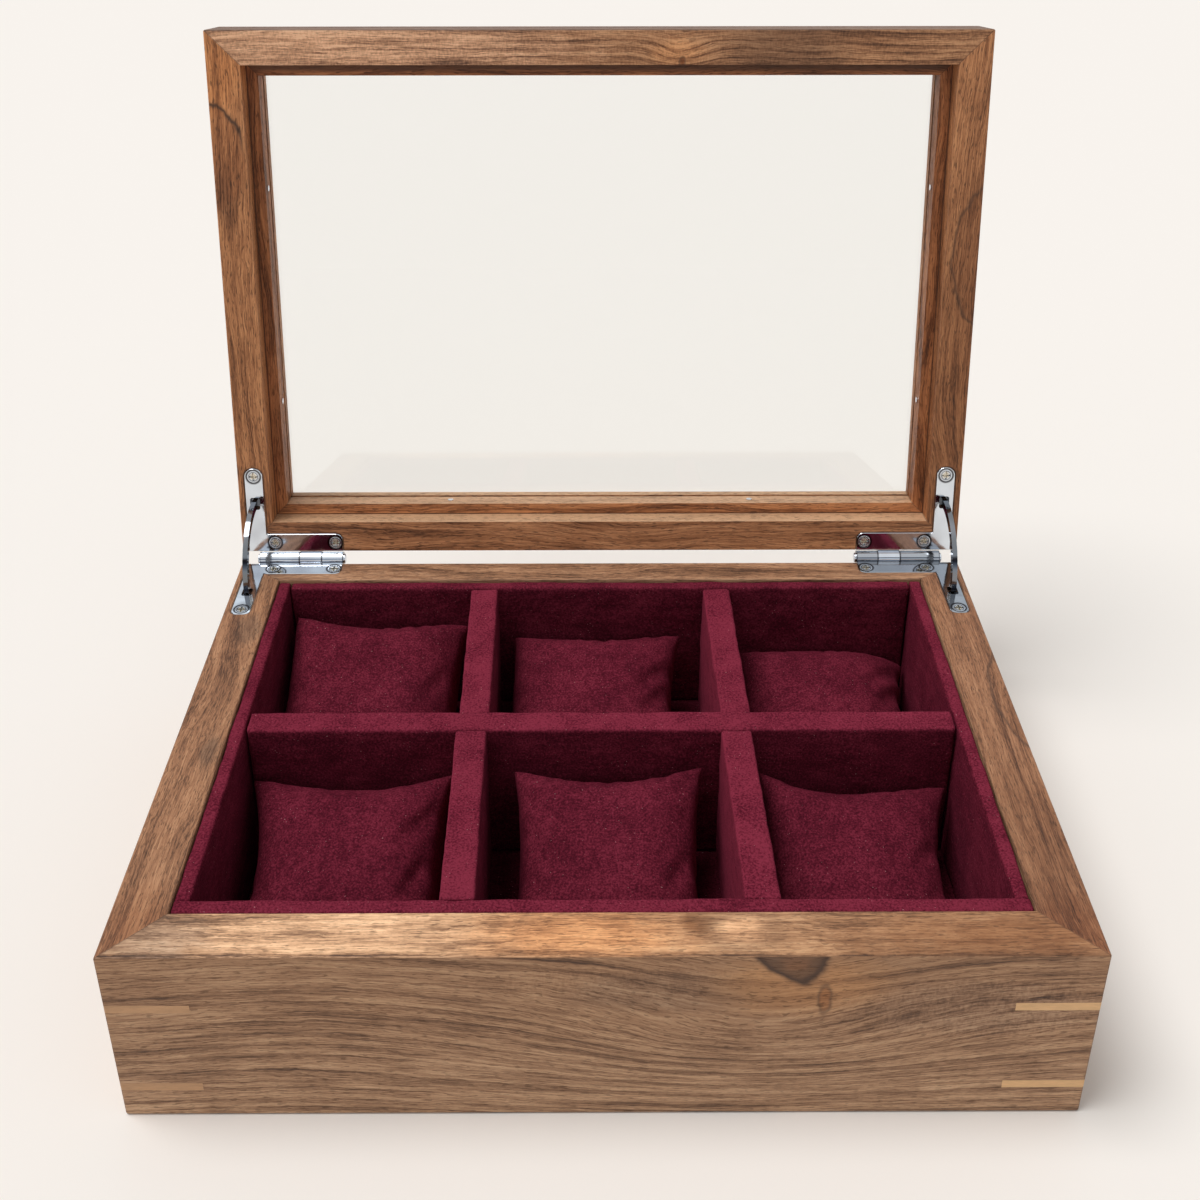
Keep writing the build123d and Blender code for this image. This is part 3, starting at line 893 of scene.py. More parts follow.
def screw_plate(name, metal, middles, reach):
    """Plated screw metal with turning marks, painted shade in dark rings at its rim and bevel, and thin
    brassy plate round its cross slot.
    """
    finish = Finish(name)
    point = finish.place()
    marks = finish.noise(point, 1 / SCREW_MARK_SIZE, detail=2)
    distance = screw_distance(finish, middles, reach)
    worn = (1 - distance.step(*WORN_REACH)) * 0.75
    colour = finish.mix(worn, metal.chrome, metal.brass)
    # Painted shade: dark rings at the head's rim and its bevel
    colour = finish.mix(distance.hump(*HEAD_RING) * 0.95, colour, metal.gap)
    colour = finish.mix(distance.hump(*BEVEL_RING) * 0.75, colour, metal.gap)
    turning = (distance * TURNING_RATE).math("SINE")
    return finish.surface(
        {
            "Base Color": colour,
            "Metallic": 1.0,
            "Roughness": marks * 0.3 + 0.08,
            "Normal": finish.bump(marks + turning * 0.4, 0.06 * MM, 0.6),
        }
    )


def clear_glass(name, metal):
    """A clear pane that lets lamps through."""
    finish = Finish(name)
    inputs = {
        "Base Color": (*metal.glass, 1),
        "Roughness": 0.0,
        "IOR": 1.5,
        "Specular IOR Level": 0.2,
        "Transmission Weight": 1.0,
    }
    pane = finish.value("ShaderNodeBsdfPrincipled", {}, inputs)
    passing = finish.value("ShaderNodeBsdfTransparent")
    finish.show(finish.value("ShaderNodeMixShader", {}, {0: finish.rays("Shadow"), 1: pane, 2: passing}))
    return finish.material


def case_boards():
    """The four walls of the case, with the marks that each shows."""
    front = Board(
        EAST, UP, NORTH, tint=(0.9, 0.87, 0.85), top_tint=(1.08, 1.03, 0.95), lean=0.35, bend=0.7,
        ring_strength=0.42, pores=0.45,
        swells=(
            Swell(50, 33, 65, 24, 20),
            Swell(55, 69, 40, 12, 9),
            Swell(-91, 45, 50, 60, -5),
        ),
        calms=(Swell(62, 57, 24, 9, 0.8), Swell(60, 67, 60, 7, 0.4), Swell(40, 52, 12, 8, 0.5)),
        marks=(
            Mark(0, 0, 900, 40, (1.22, 1.3, 1.38), 1.0, 0.3),
            Mark(60, 57, 30, 13, (1.24, 1.13, 0.94), 0.6),
            Mark(20, 54, 34, 9, (0.86, 0.88, 0.92)),
            Mark(112, 47, 42, 12, (0.88, 0.9, 0.95)),
            Mark(56.5, 69.5, 10.5, 11.5, (0.34, 0.33, 0.37), 0.05, 0.35, 1.0, 0.13, 1.4, 0.35),
            Mark(58, 66.5, 5, 3.5, (1.35, 1.25, 1.15), 0.5, 0.9),
            Mark(67.5, 51, 1.8, 5.0, (0.84, 0.72, 0.62), 0.3, 1.1, 0.55, 0.3),
            Mark(-90, -99, 62, 12, (1.68, 1.88, 2.1), 0.7, 0.7, top=True),
            Mark(-140, -101, 22, 14, (0.72, 0.76, 0.84), 0.6, 0.9, top=True),
            Mark(-6, -99, 36, 12, (1.32, 1.14, 0.95), 0.7, 0.7, top=True),
            Mark(128, -99, 68, 14, (0.56, 0.445, 0.36), 0.85, 0.7, top=True),
            Mark(105, -105, 60, 5, (0.8, 0.76, 0.72), 0.85, 0.7, top=True),
            Mark(42, -97.5, 9.5, 7, (1.5, 1.55, 1.6), 0.7, 1.0, 0.25, 0.4, top=True),
            Mark(29, -95, 6, 5, (0.5, 0.42, 0.36), 0.7, 0.9, top=True),
        ),
        streaks=(
            Streak(30.6, 0.7, 0.42, -15, 42),
            Streak(30.2, 0.7, 0.42, 112, 38),
            Streak(13.0, 0.4, 0.3, -60, 60),
        ),
        chatters=(Mark(115, 47, 45, 13, soft=0.5), Mark(20, 58, 60, 8, soft=0.3)),
    )
    back = Board(
        EAST, UP, NORTH, shift=(400, 15, 60), top_tint=(0.84, 0.78, 0.76), leaf_round=ARM_ROUND,
        ring_strength=0.5, fibre=2.1,
    )
    left = Board(
        NORTH, UP, EAST, shift=(130, 40, 220), top_tint=(0.76, 0.64, 0.57), lean=0.8,
        leaf_round=ARM_ROUND,
        marks=(
            Mark(-13, -139, 12, 3.5, (0.6, 0.64, 0.7), 0.6, 0.9, top=True),
            Mark(60, -140, 12, 6, (0.66, 0.7, 0.76), 0.6, 0.9, top=True),
            Mark(-98, -143, 20, 14, (0.8, 0.7, 0.62), 0.7, 0.9, top=True),
        ),
    )
    right = Board(
        NORTH, UP, EAST, shift=(-260, 70, 90), top_tint=(0.69, 0.56, 0.5), lean=0.8,
        leaf_round=ARM_ROUND,
        marks=(
            Mark(-60, 143, 60, 12, (0.78, 0.74, 0.7), 0.8, 0.8, top=True),
            Mark(14, 160, 34, 14, (0.9, 0.88, 0.86), 0.1, 0.2, 0.7, 0.04, top=True),
            Mark(-98, 143, 20, 14, (0.78, 0.66, 0.58), 0.7, 0.9, top=True),
        ),
    )
    return {"front_wall": front, "back_wall": back, "left_wall": left, "right_wall": right}


def lid_rails():
    """The four rails of the lid. Across the front rail and along the side rails runs the lid's reach."""
    common = dict(
        origin=LID_AXIS, top_tint=(1.0, 0.95, 0.9), leaf_round=LID_ARM_ROUND, ring_strength=0.42, fibre=2.0
    )
    # The front rail's edge gets painted shade, the other rails' edges a painted highlight
    front = Board(
        EAST, LID_REACH, LID_OUTWARD, shift=(700, 20, 10), tint=(1.03, 0.88, 0.76), painted_edge_light=-0.7,
        lean=0.4, bend=3.0, chatter=0.7, pores=0.35, hair=0.2,
        swells=(Swell(31, 209.5, 12, 7, 5),),
        marks=(
            Mark(-95, 212, 95, 20, (1.66, 1.9, 2.3), 0.6),
            Mark(72, 212, 26, 20, (0.62, 0.62, 0.64), 0.6),
            Mark(32, 207.2, 1.2, 1.8, (0.5, 0.36, 0.26), 0.4, 0.7, 0.6, 0.3),
            Mark(30, 210.5, 12, 6, (1.35, 1.28, 1.15), 0.7, 0.6),
        ),
        **common,
    )
    back = Board(
        EAST, LID_REACH, LID_OUTWARD, shift=(-500, 90, 40), tint=(1.05, 0.82, 0.66), painted_edge_light=0.75,
        **common,
    )
    left = Board(
        LID_REACH, EAST, LID_OUTWARD, shift=(310, -60, 20), tint=(1.1, 0.83, 0.62), painted_edge_light=0.4,
        marks=(
            Mark(170, -156, 22, 16, (0.88, 0.82, 0.78), 0.05, 0.25, 0.95, 0.04, open_end=True),
            Mark(156, -150, 15, 5, (0.6, 0.58, 0.6), 0.7, 0.8),
            Mark(202, -149, 16, 12, (1.22, 1.14, 1.0), 0.7, 0.6),
        ),
        **common,
    )
    right = Board(
        LID_REACH, EAST, LID_OUTWARD, shift=(-900, 33, 70), tint=(1.06, 0.8, 0.61), painted_edge_light=0.4,
        marks=(
            Mark(130, 158, 30, 16, (0.8, 0.76, 0.74), 0.05, 0.25, 0.7, 0.035),
            Mark(70, 146, 90, 16, (0.72, 0.68, 0.64), 0.8, 0.6),
        ),
        **common,
    )
    return {"front": front, "back": back, "left": left, "right": right}


def lid_beads():
    """The four beads that hold the pane. They are redder and darker than the rails."""
    # Each bead's edge that faces the lid's reach gets a painted highlight
    common = dict(
        origin=LID_AXIS, depth=LID_OUTWARD, tint=(0.9, 0.6, 0.4), top_tint=(1.05, 1.0, 0.98), mottle=0.7,
        painted_edge_light=0.6, ring_strength=0.42, fibre=2.0,
    )
    beads = {
        "front": Board(EAST, LID_REACH, shift=(900, 70, 10), painted_shade_width=4.6, **common),
        "back": Board(EAST, LID_REACH, shift=(-300, 40, 140), **common),
        "left": Board(LID_REACH, EAST, shift=(-710, 60, 20), **common),
        "right": Board(LID_REACH, EAST, shift=(-100, 133, 170), **common),
    }
    beads["back"].tint = (1.1, 0.8, 0.58)
    # Each bead gets a band of painted shade along its outer edge, where it meets its rail; the front bead's
    # band is wide
    for side, bead in beads.items():
        bead.painted_shade_along = bead.across
        reached = [
            (vertex.co - LID_AXIS).dot(bead.across) / MM
            for vertex in frame["nodes"][f"glass_bead_{side}"].data.vertices
        ]
        bead.painted_shade_at = max(reached) if side in ("front", "right") else min(reached)
    return beads


class WatchBoxOperator:
    """What the operators share: the settings, and the options of a step that can be undone."""

    bl_options = {"REGISTER", "UNDO"}

    @property
    def settings(self):
        return bpy.context.scene.watch_box


class WATCHBOX_OT_stage(WatchBoxOperator, bpy.types.Operator):
    """Makes the pale floor, the soft light and the camera"""

    bl_idname = "watch_box.stage"
    bl_label = "Stage, light and camera"

    def execute(self, context):
        stage = self.settings.stage
        context.scene.view_settings.view_transform = "Standard"
        self.make_floor(stage)
        self.make_light(context, stage)
        self.make_camera(context, stage)
        return {"FINISHED"}

    def make_floor(self, stage):
        """A wide pale floor just under the box."""
        reach = 6.0
        below = 0.2 * MM
        mesh = bpy.data.meshes.new("floor")
        turns = ((-1, -1), (1, -1), (1, 1), (-1, 1))
        mesh.from_pydata([(x * reach, y * reach, -below) for x, y in turns], [], [(0, 1, 2, 3)])
        floor = add_object("floor", mesh)
        finish = Finish("floor paper")
        muted = tuple(part * stage.bounce for part in stage.floor)
        colour = finish.mix(finish.rays("Camera", "Glossy", "Transmission"), muted, stage.floor)
        mesh.materials.append(
            finish.surface({"Base Color": colour, "Roughness": 1.0, "Specular IOR Level": 0.0})
        )

    def make_light(self, context, stage):
        """An even sky, which shows as the pale backdrop, and one wide soft lamp from the upper left."""
        studio = Finish("studio", "worlds")
        context.scene.world = studio.material
        height = studio.dot(studio.value("ShaderNodeTexCoord"), UP)
        panels = studio.ramp(height, STUDIO_PANELS)
        glossy = studio.rays("Glossy")
        seen = studio.rays("Camera", "Transmission")
        shown = studio.mix(seen, studio.mix(glossy, (1, 1, 1), panels), stage.floor)
        strength = seen.math("MAXIMUM", glossy) * (1 - stage.sky_light) + stage.sky_light
        light = studio.value("ShaderNodeBackground", {}, {"Color": shown, "Strength": strength})
        studio.node("ShaderNodeOutputWorld", {}, {"Surface": light})
        lamp = bpy.data.lights.new("soft lamp", "SUN")
        lamp.energy = stage.lamp
        lamp.angle = stage.lamp_spread
        holder = add_object("soft lamp", lamp)
        self.point_at(holder, -Vector(stage.lamp_place))

    def make_camera(self, context, stage):
        """The camera at the photograph's place and angle."""
        camera = bpy.data.cameras.new("camera")
        camera.lens = stage.lens
        camera.shift_y = stage.lens_shift
        camera.clip_start = 0.01
        camera.clip_end = 50
        holder = add_object("camera", camera)
        holder.location = stage.eye
        level = math.cos(stage.pitch)
        forward = (math.sin(stage.yaw) * level, math.cos(stage.yaw) * level, -math.sin(stage.pitch))
        self.point_at(holder, Vector(forward))
        context.scene.camera = holder

    def point_at(self, holder, direction):
        """Turns a lamp or camera to look in a direction."""
        holder.rotation_mode = "QUATERNION"
        holder.rotation_quaternion = direction.to_track_quat("-Z", "Y")


class WATCHBOX_OT_case(WatchBoxOperator, bpy.types.Operator):
    """Finishes the walls, the bottom panel and the corner keys of the case"""

    bl_idname = "watch_box.case"
    bl_label = "Case"

    def execute(self, context):
        wood = self.settings.wood
        for name, board in case_boards().items():
            wear(frame["nodes"][name], Walnut(f"walnut {name}", board, wood).build())
        panel = Board(EAST, NORTH, UP, shift=(50, 500, 30), ring_strength=0.15, bend=9.0)
        wear(frame["nodes"]["bottom_panel"], Walnut("walnut bottom_panel", panel, wood).build())
        for hand, colour in zip(HANDS, (wood.key_brown, wood.maple)):
            material = key_wood(f"key wood {hand}", tuple(colour))
            for side in ROWS:
                wear(frame["nodes"][f"corner_keys_{side}_{hand}"], material)
        return {"FINISHED"}


class WATCHBOX_OT_lid(WatchBoxOperator, bpy.types.Operator):
    """Finishes the lid's rails, its beads and its pane"""

    bl_idname = "watch_box.lid"
    bl_label = "Lid"

    def execute(self, context):
        wood = self.settings.wood
        for part, boards in (("lid_rail", lid_rails()), ("glass_bead", lid_beads())):
            for side, board in boards.items():
                name = f"{part}_{side}"
                wear(frame["nodes"][name], Walnut(f"walnut {name}", board, wood).build())
        wear(frame["nodes"]["glass_pane"], clear_glass("clear glass", self.settings.metal))
        return {"FINISHED"}


class WATCHBOX_OT_metal(WatchBoxOperator, bpy.types.Operator):
    """Finishes the hinges, struts, screws and bead pins"""

    bl_idname = "watch_box.metal"
    bl_label = "Metal"

    def execute(self, context):
        metal = self.settings.metal
        # The struts and the right base leaf are painted with darker reflections
        strut = polished_plate("polished strut", metal, tone=metal.strut_painted_reflection_tone)
        nodes = frame["nodes"]
        for hand, base_painted_reflection_tone in zip(HANDS, (metal.leaf_painted_reflection_tone, metal.right_leaf_painted_reflection_tone)):
            wear(nodes[f"strut_{hand}"], strut)
            for body, reach, tone in (("base", NORTH, base_painted_reflection_tone), ("lid", LID_REACH, metal.leaf_painted_reflection_tone)):
                screws = nodes[f"hinge_{body}_screws_{hand}"]
                middles = screw_middles(screws, reach)
                wear(screws, screw_plate(f"screws {body} {hand}", metal, middles, reach))
                leaf = polished_plate(f"plate {body} {hand}", metal, middles, reach, tone)
                wear(nodes[f"hinge_{body}_leaf_{hand}"], leaf)
        pins = polished_plate("pin metal", metal)
        for name in ("bead_pins", "hinge_pin_left", "hinge_pin_right"):
            wear(nodes[name], pins)
        return {"FINISHED"}


# Sizes of the swells of a wrapped board, its faces' spacing and the rounding of a sharp edge
WIDE_SWELL = 16 * MM
NARROW_SWELL = 5.5 * MM
NARROW_SHARE = 0.7
FACE_SPACING = 1.0 * MM
SHARP_ROUND = 0.5 * MM

# Shares of the edge rounding that thin boards and the cross divider's rear edge have, the share of a side
# that a rounding may take, and how many thicknesses long a side is that meets other boards at its ends
THIN_ROUND = 0.5
REAR_ROUND = 0.4
SIDE_SHARE = 0.4
LONG_SIDE = 3

# How far a wrapped board stands out past its solid along an axis, low and high, in thicknesses of the cloth
STANDS_OUT = {
    "cross_divider": (1, 0.5, 1.7),
    "lining_front": (1, 0, 1.2),
    "row divider": (0, 0.7, 0.7),
}


def soft_box(name, low, high, round_low, round_high, softness):
    """A board wrapped in suede: a closed block of small faces with soft edges and slightly uneven sides.

    The roundings are one radius for each axis, at the low and at the high side.
    """
    size = high - low
    counts = [max(2, round(length / FACE_SPACING)) for length in size]
    made = bmesh.new()
    known = {}

    def rounded(point):
        """Moves a point of the sharp block onto the rounded one."""
        inner = [min(max(point[i], low[i] + round_low[i]), high[i] - round_high[i]) for i in range(3)]
        radii = [round_low[i] if point[i] < inner[i] else round_high[i] for i in range(3)]
        offset = Vector([(point[i] - inner[i]) / radii[i] for i in range(3)])
        if offset.length == 0:
            return point
        offset.normalize()
        return Vector([inner[i] + offset[i] * radii[i] for i in range(3)])

    def corner(*steps):
        """The vertex at a step along each side, made once."""
        if steps not in known:
            point = Vector([low[i] + size[i] * steps[i] / counts[i] for i in range(3)])
            known[steps] = made.verts.new(rounded(point))
        return known[steps]

    for axis in range(3):
        first, second = (axis + 1) % 3, (axis + 2) % 3
        for end in (0, counts[axis]):
            for i in range(counts[first]):
                for j in range(counts[second]):
                    square = []
                    for a, b in ((0, 0), (1, 0), (1, 1), (0, 1)):
                        steps = [0, 0, 0]
                        steps[axis] = end
                        steps[first] = i + a
                        steps[second] = j + b
                        square.append(corner(*steps))
                    made.faces.new(square if end else square[::-1])
    made.normal_update()
    middle = (low + high) / 2
    for vertex in made.verts:
        swell = noise.noise((vertex.co + middle * 3) / WIDE_SWELL)
        swell += NARROW_SHARE * noise.noise(vertex.co / NARROW_SWELL)
        vertex.co += vertex.normal * (swell * softness - softness)
    mesh = bpy.data.meshes.new(name)
    made.to_mesh(mesh)
    made.free()
    mesh.shade_smooth()
    return add_object(name, mesh)


class WATCHBOX_OT_lining(WatchBoxOperator, bpy.types.Operator):
    """Wraps the lining boards and the dividers in suede"""

    bl_idname = "watch_box.lining"
    bl_label = "Lining and dividers"

    def execute(self, context):
        fabric = self.settings.suede
        # The lining and the dividers are painted lighter on top and to the left; the back lining only a
        # little, the floor not at all
        upright = suede("suede lining", fabric, (0.3, 0.3, 1.0), painted_top_light=0.35, painted_west_light=0.12)
        rear = suede("suede back lining", fabric, (0.3, 0.3, 1.0), tone=0.97, painted_top_light=0.1)
        divider = suede("suede divider", fabric, (0.3, 0.3, 1.0), tone=1.05, painted_top_light=0.4, painted_west_light=0.6)
        flat = suede("suede floor", fabric, (0.6, 1.0, 1.0), tone=0.6)
        names = [f"lining_{side}" for side in (*SIDES, "floor")]
        names += ["cross_divider"]
        names += [f"{row}_divider_{hand}" for row in ROWS for hand in HANDS]
        for node in names:
            piece = self.wrap(node, fabric)
            cloth = divider if "divider" in node else upright
            cloth = {"lining_floor": flat, "lining_back": rear}.get(node, cloth)
            piece.data.materials.append(cloth)
            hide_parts(node)
            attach(piece, "base")
        return {"FINISHED"}

    def wrap(self, node, fabric):
        """Makes the wrapped board that stands in a solid's place."""
        low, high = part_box(node)
        size = high - low
        thickness = min(size)
        is_row_divider = node.startswith(ROWS)
        is_cross = node == "cross_divider"
        soft = fabric.edge_round * (1 if is_cross else THIN_ROUND)
        soft_back = soft * (REAR_ROUND if is_cross else 1)
        if is_row_divider:
            high.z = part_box("cross_divider")[1].z
        top_round = SHARP_ROUND if node == "lining_floor" else soft_back
        if node != "lining_floor":
            high.z += fabric.cloth
        axis, below, above = STANDS_OUT.get("row divider" if is_row_divider else node, (0, 0, 0))
        low[axis] -= fabric.cloth * below
        high[axis] += fabric.cloth * above
        sides = [
            min(soft, length * SIDE_SHARE) if length < thickness * LONG_SIDE else SHARP_ROUND
            for length in size
        ]
        round_low = (sides[0], sides[1], SHARP_ROUND)
        round_high = (sides[0], min(sides[1], soft_back), top_round)
        piece = soft_box(f"suede_{node}", low, high, round_low, round_high, fabric.softness)
        if is_row_divider:
            shift = fabric.divider_shift if node.startswith("front") else 0
            self.slant(piece, low, high, shift, fabric.divider_slant)
        return piece

    def slant(self, piece, low, high, shift, reach):
        """Moves a divider to the right, and its near end further."""
        for vertex in piece.data.vertices:
            vertex.co.x += shift + reach * (high.y - vertex.co.y) / (high.y - low.y)


# Heights of a pillow: its front seam over its underside, its rear seam under its solid's top, and how far
# its lower panel hangs under the seams
FRONT_SEAM = 19 * MM
REAR_SEAM_DROP = 1.2 * MM
BELLY = 44 * MM
PANEL_STEPS = (40, 42)
HALF_PANEL = 36 * MM

# Sizes of the puckers and lumps, and how far from a seam they start, the lumps in widths of the seam
PUCKER_SIZE = 4.2 * MM
LUMP_SIZE = 17 * MM
SEAM_WIDTH = 1.5 * MM
LUMP_FADE = 4

# The cloth simulation: how firmly the seams are held, the size it runs at, and the fabric
SEAM_HOLD = 0.25
BAG_SCALE = 10.0
FABRIC = {
    "quality": 6,
    "mass": 0.3,
    "tension_stiffness": 12,
    "compression_stiffness": 12,
    "shear_stiffness": 4,
    "bending_stiffness": 0.6,
    "use_pressure": True,
    "vertex_group_mass": "held",
}

# How much the front and rear seams bow in for the waist of the sides, and how full the panels are
END_WAIST = 0.35
CORNER_POWER = 3
FULLNESS = 0.55

# How deep a crease is at its ends, and the low ridge beside it: its share of the depth and its place
END_FADE = 0.15
RIDGE_SHARE = 0.55
RIDGE_PLACE = 1.7

# Rows of noise, so that the folds of side and end seams and the lumps of both panels differ
SIDE_ROW, END_ROW, PANEL_ROW = 9, 5, 7


@dataclass
class Crease:
    """A soft fold across a pillow's upper panel, between two places of its own -1 to 1 square."""

    start: tuple
    end: tuple
    depth: float = 1.0
    width: float = 0.07

    def depth_at(self, s, r, side):
        """How deep the fold is at a place, in metres."""
        if side < 0:
            return 0.0
        first, run = Vector(self.start), Vector(self.end) - Vector(self.start)
        spot = Vector((s, r))
        share = min(max((spot - first).dot(run) / run.length_squared, 0.0), 1.0)
        distance = (spot - first - run * share).length / self.width
        fade = math.sin(math.pi * (END_FADE + (1 - 2 * END_FADE) * share))
        ridge = RIDGE_SHARE * math.exp(-((distance - RIDGE_PLACE) ** 2))
        return self.depth * MM * fade * (math.exp(-distance ** 2) - ridge)


@dataclass
class Pillow:
    """One pillow's own shape, in millimetres.

    The rises are how far its rear seam stands above its solid's rear height. The waist is how far its sides
    pull in halfway, and the lean is how far its middle lies to the right.
    """

    left: float
    right: float
    rise_left: float
    rise_middle: float
    rise_right: float
    crown: float = 8.0
    waist: float = 4.0
    lean: float = 0.0
    creases: tuple = ()


PILLOWS = {
    "back_left": Pillow(
        -0.4, 1.2, 3.0, -0.4, -2.6, crown=7.0, waist=3.0, lean=-2.4,
        creases=(Crease((-0.98, 0.98), (-0.6, 0.62), 0.9), Crease((0.95, 0.35), (0.7, -0.05), 0.9)),
    ),
    "back_middle": Pillow(
        -0.8, -1.8, -2.3, -1.4, -1.5, crown=7.5, waist=3.2, lean=-2.6,
        creases=(
            Crease((0.98, 0.5), (0.6, 0.1), 1.3), Crease((0.98, 0.2), (0.62, -0.2), 1.1),
            Crease((-0.98, 0.55), (-0.6, 0.2), 0.9),
        ),
    ),
    "back_right": Pillow(
        2.6, 1.6, -4.5, -3.2, -11.5, crown=10.0, waist=3.4, lean=-2.8,
        creases=(Crease((0.98, 0.75), (0.55, 0.25), 1.3), Crease((0.98, 0.4), (0.62, -0.1), 1.2)),
    ),
    "front_left": Pillow(
        -1.0, 1.4, -1.8, -3.4, 1.0, crown=7.5, waist=5.4, lean=1.1,
        creases=(
            Crease((0.98, 0.6), (0.62, 0.2), 1.1), Crease((0.98, 0.1), (0.7, -0.3), 1.3),
            Crease((-0.98, -0.1), (-0.7, -0.35), 1.0),
        ),
    ),
    "front_middle": Pillow(
        3.8, 1.4, 0.3, -2.2, 2.0, crown=7.5, waist=4.4, lean=-0.5,
        creases=(
            Crease((-0.98, 0.75), (-0.55, 0.3), 0.9), Crease((-0.98, -0.05), (-0.66, -0.35), 1.2),
            Crease((0.98, 0.1), (0.66, -0.3), 1.2), Crease((0.98, 0.9), (0.55, 0.5), 0.9),
        ),
    ),
    "front_right": Pillow(
        1.9, 0.2, 3.5, -4.8, -4.2, crown=8.5, waist=5.6, lean=-2.8,
        creases=(Crease((0.98, 0.3), (0.66, 0.0), 1.0), Crease((0.98, -0.15), (0.7, -0.4), 1.1)),
    ),
}


class WATCHBOX_OT_pillows(WatchBoxOperator, bpy.types.Operator):
    """Sews and stuffs the six pillows"""

    bl_idname = "watch_box.pillows"
    bl_label = "Pillows"

    def execute(self, context):
        cloth = suede("suede pillow", self.settings.suede, (1.0, 0.7, 1.0), tone=0.93)
        for place, pillow in PILLOWS.items():
            piece = self.sew(f"suede_pillow_{place}", f"pillow_{place}", pillow)
            piece.data.materials.append(cloth)
            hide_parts(f"pillow_{place}")
            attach(piece, f"pillow_{place}")
        return {"FINISHED"}

    def seam_point(self, low, high, pillow, s, t):
        """The point of the seam's own surface, s from left to right and t from front to rear."""
        lean_in = pillow.waist * MM
        left = low.x + pillow.left * MM
        right = high.x + pillow.right * MM
        pinch = 1 - (2 * t - 1) ** 2
        half = (right - left) / 2 - lean_in * pinch
        x = (left + right) / 2 + s * half + pillow.lean * MM * pinch
        bow = 1 - s * s
        y = low.y + (high.y - low.y) * t
        y += lean_in * END_WAIST * bow * (1 - 2 * t)
        rise = pillow.rise_middle * bow + (
            pillow.rise_left * (1 - s) / 2 + pillow.rise_right * (1 + s) / 2
        ) * (1 - bow)
        front = low.z + FRONT_SEAM
        rear = self.rear_height + rise * MM
        return Vector((x, y, front + (rear - front) * t))

    def sew(self, name, node, pillow):
        """Makes one pillow: two panels sewn along their edges, filled, and set on its compartment's floor."""
        low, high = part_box(node)
        self.rear_height = high.z - REAR_SEAM_DROP
        steps_x, steps_y = PANEL_STEPS
        made = bmesh.new()
        rim = {}
        spots = []
        sewn_spots = []

        def panel(side):
            """One panel's vertices, which share those of the seam."""
            grid = {}
            for i in range(steps_x + 1):
                for j in range(steps_y + 1):
                    s = 2 * i / steps_x - 1
                    t = j / steps_y
                    sewn = i in (0, steps_x) or j in (0, steps_y)
                    if sewn and (i, j) in rim:
                        grid[i, j] = rim[i, j]
                        continue
                    point = self.seam_point(low, high, pillow, s, t)
                    r = 2 * t - 1
                    full = ((1 - abs(s) ** CORNER_POWER) * (1 - abs(r) ** CORNER_POWER)) ** FULLNESS
                    if side > 0:
                        point.z += pillow.crown * MM * full
                    else:
                        point.z = max(low.z, point.z - BELLY * full)
                    grid[i, j] = made.verts.new(point)
                    if sewn:
                        rim[i, j] = grid[i, j]
                        sewn_spots.append(len(spots))
                    spots.append((s, r, side))
            for i in range(steps_x):
                for j in range(steps_y):
                    square = [grid[i, j], grid[i + 1, j], grid[i + 1, j + 1], grid[i, j + 1]]
                    made.faces.new(square if side > 0 else square[::-1])

        panel(1)
        panel(-1)
        made.verts.index_update()
        mesh = bpy.data.meshes.new(name)
        made.to_mesh(mesh)
        made.free()
        piece = add_object(name, mesh)
        self.stuff(piece, low, sewn_spots)
        self.pucker(mesh, spots, pillow, low)
        mesh.shade_smooth()
        smooth = piece.modifiers.new("smooth", "SUBSURF")
        smooth.levels = 1
        smooth.render_levels = 1
        return piece

    def stuff(self, piece, low, seam):
        """Fills the pillow by cloth simulation, at ten times its size, and keeps it in its place."""
        settings = self.settings.pillows
        start = [vertex.co.copy() for vertex in piece.data.vertices]
        bag = add_object("bag", piece.data.copy())
        bag.data.transform(Matrix.Scale(BAG_SCALE, 4))
        group = bag.vertex_groups.new(name="held")
        group.add(seam, SEAM_HOLD, "REPLACE")
        cloth = bag.modifiers.new("cloth", "CLOTH")
        fabric = cloth.settings
        for name, setting in FABRIC.items():
            setattr(fabric, name, setting)
        fabric.uniform_pressure_force = settings.pressure
        fabric.shrink_min = -settings.slack
        fabric.effector_weights.gravity = 0
        for number in range(1, settings.frames + 1):
            bpy.context.scene.frame_set(number)
        view = bpy.context.evaluated_depsgraph_get()
        filled = bag.evaluated_get(view).data
        for vertex, origin, moved in zip(piece.data.vertices, start, filled.vertices):
            offset = moved.co / BAG_SCALE - origin
            if offset.length > settings.give:
                offset = offset.normalized() * settings.give
            place = origin + offset
            place.z = max(place.z, low.z)
            vertex.co = place
        bpy.data.objects.remove(bag)
        bpy.context.scene.frame_set(1)

    def pucker(self, mesh, spots, pillow, low):
        """Adds the small folds that run in from the seams, soft lumps of filling and the pillow's creases."""
        settings = self.settings.pillows
        normals = [vertex.normal.copy() for vertex in mesh.vertices]

        def fold(along, edge_row, side, inside):
            """A fold across a seam, which fades away from it. The row gives each seam its own folds."""
            spot = Vector((along / PUCKER_SIZE, edge_row, side))
            return noise.noise(spot) * math.exp(-inside / settings.pucker_reach)

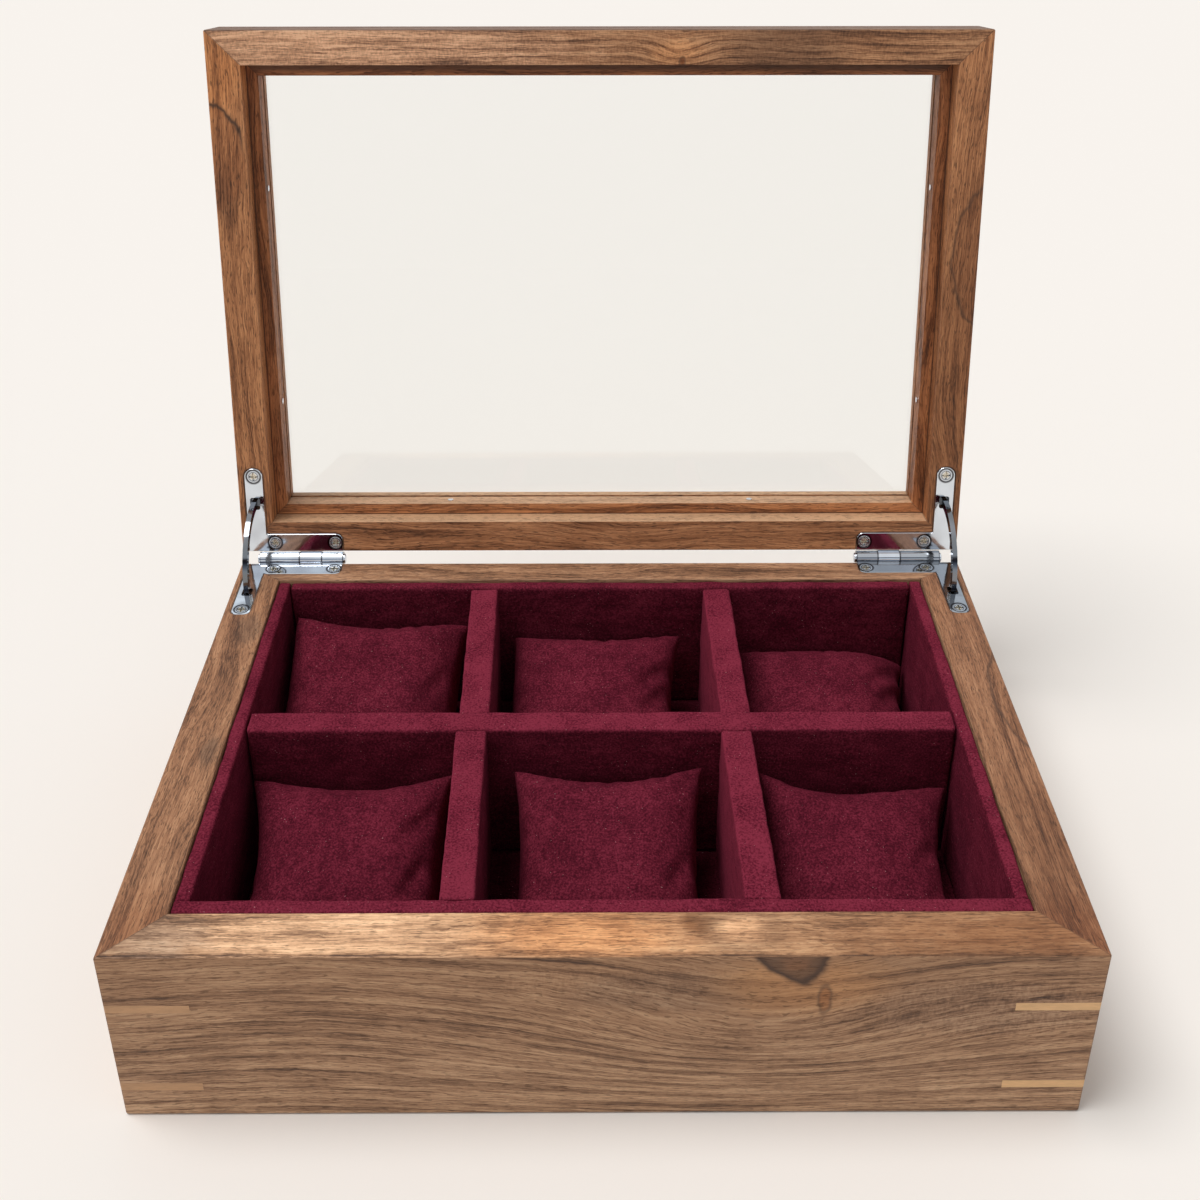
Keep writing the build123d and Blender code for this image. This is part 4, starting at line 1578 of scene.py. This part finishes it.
        for vertex, normal, (s, r, side) in zip(mesh.vertices, normals, spots):
            from_side = (1 - abs(s)) * HALF_PANEL
            from_end = (1 - abs(r)) * HALF_PANEL
            place = vertex.co
            folds = fold(place.y, math.copysign(SIDE_ROW, s), side, from_side)
            folds += fold(place.x, math.copysign(END_ROW, r), side, from_end)
            lump = noise.noise(place / LUMP_SIZE + Vector((side * PANEL_ROW, 3, 1)))
            near = min(from_side, from_end) / SEAM_WIDTH
            depth = folds * settings.pucker * min(near, 1)
            depth += lump * settings.lump * min(near / LUMP_FADE, 1)
            for crease in pillow.creases:
                depth -= crease.depth_at(s, r, side)
            moved = place + normal * depth
            moved.z = max(moved.z, low.z)
            vertex.co = moved


OPERATORS = (
    WATCHBOX_OT_stage,
    WATCHBOX_OT_case,
    WATCHBOX_OT_lid,
    WATCHBOX_OT_metal,
    WATCHBOX_OT_lining,
    WATCHBOX_OT_pillows,
)


class WATCHBOX_PT_sidebar(bpy.types.Panel):
    """Lists the steps that dress the watch box"""

    bl_idname = "WATCHBOX_PT_sidebar"
    bl_label = "Watch Box"
    bl_space_type = "VIEW_3D"
    bl_region_type = "UI"
    bl_category = "Watch Box"

    def draw(self, context):
        for operator in OPERATORS:
            self.layout.operator(operator.bl_idname)


class WatchBoxSettings(bpy.types.PropertyGroup):
    """All that a user would change."""

    wood: PointerProperty(type=WatchBoxWood)
    suede: PointerProperty(type=WatchBoxSuede)
    pillows: PointerProperty(type=WatchBoxPillows)
    metal: PointerProperty(type=WatchBoxMetal)
    stage: PointerProperty(type=WatchBoxStage)


CLASSES = (
    WatchBoxWood,
    WatchBoxSuede,
    WatchBoxPillows,
    WatchBoxMetal,
    WatchBoxStage,
    WatchBoxSettings,
    *OPERATORS,
    WATCHBOX_PT_sidebar,
)


def register():
    """Registers the classes and gives every scene the settings."""
    for each in CLASSES:
        bpy.utils.register_class(each)
    bpy.types.Scene.watch_box = PointerProperty(type=WatchBoxSettings)


def unregister():
    """Takes the settings and the classes away again."""
    del bpy.types.Scene.watch_box
    for each in reversed(CLASSES):
        bpy.utils.unregister_class(each)


def main():
    """Dresses the watch box."""
    register()
    for operator in OPERATORS:
        group, name = operator.bl_idname.split(".")
        getattr(getattr(bpy.ops, group), name)()


if __name__ == "__main__":
    main()
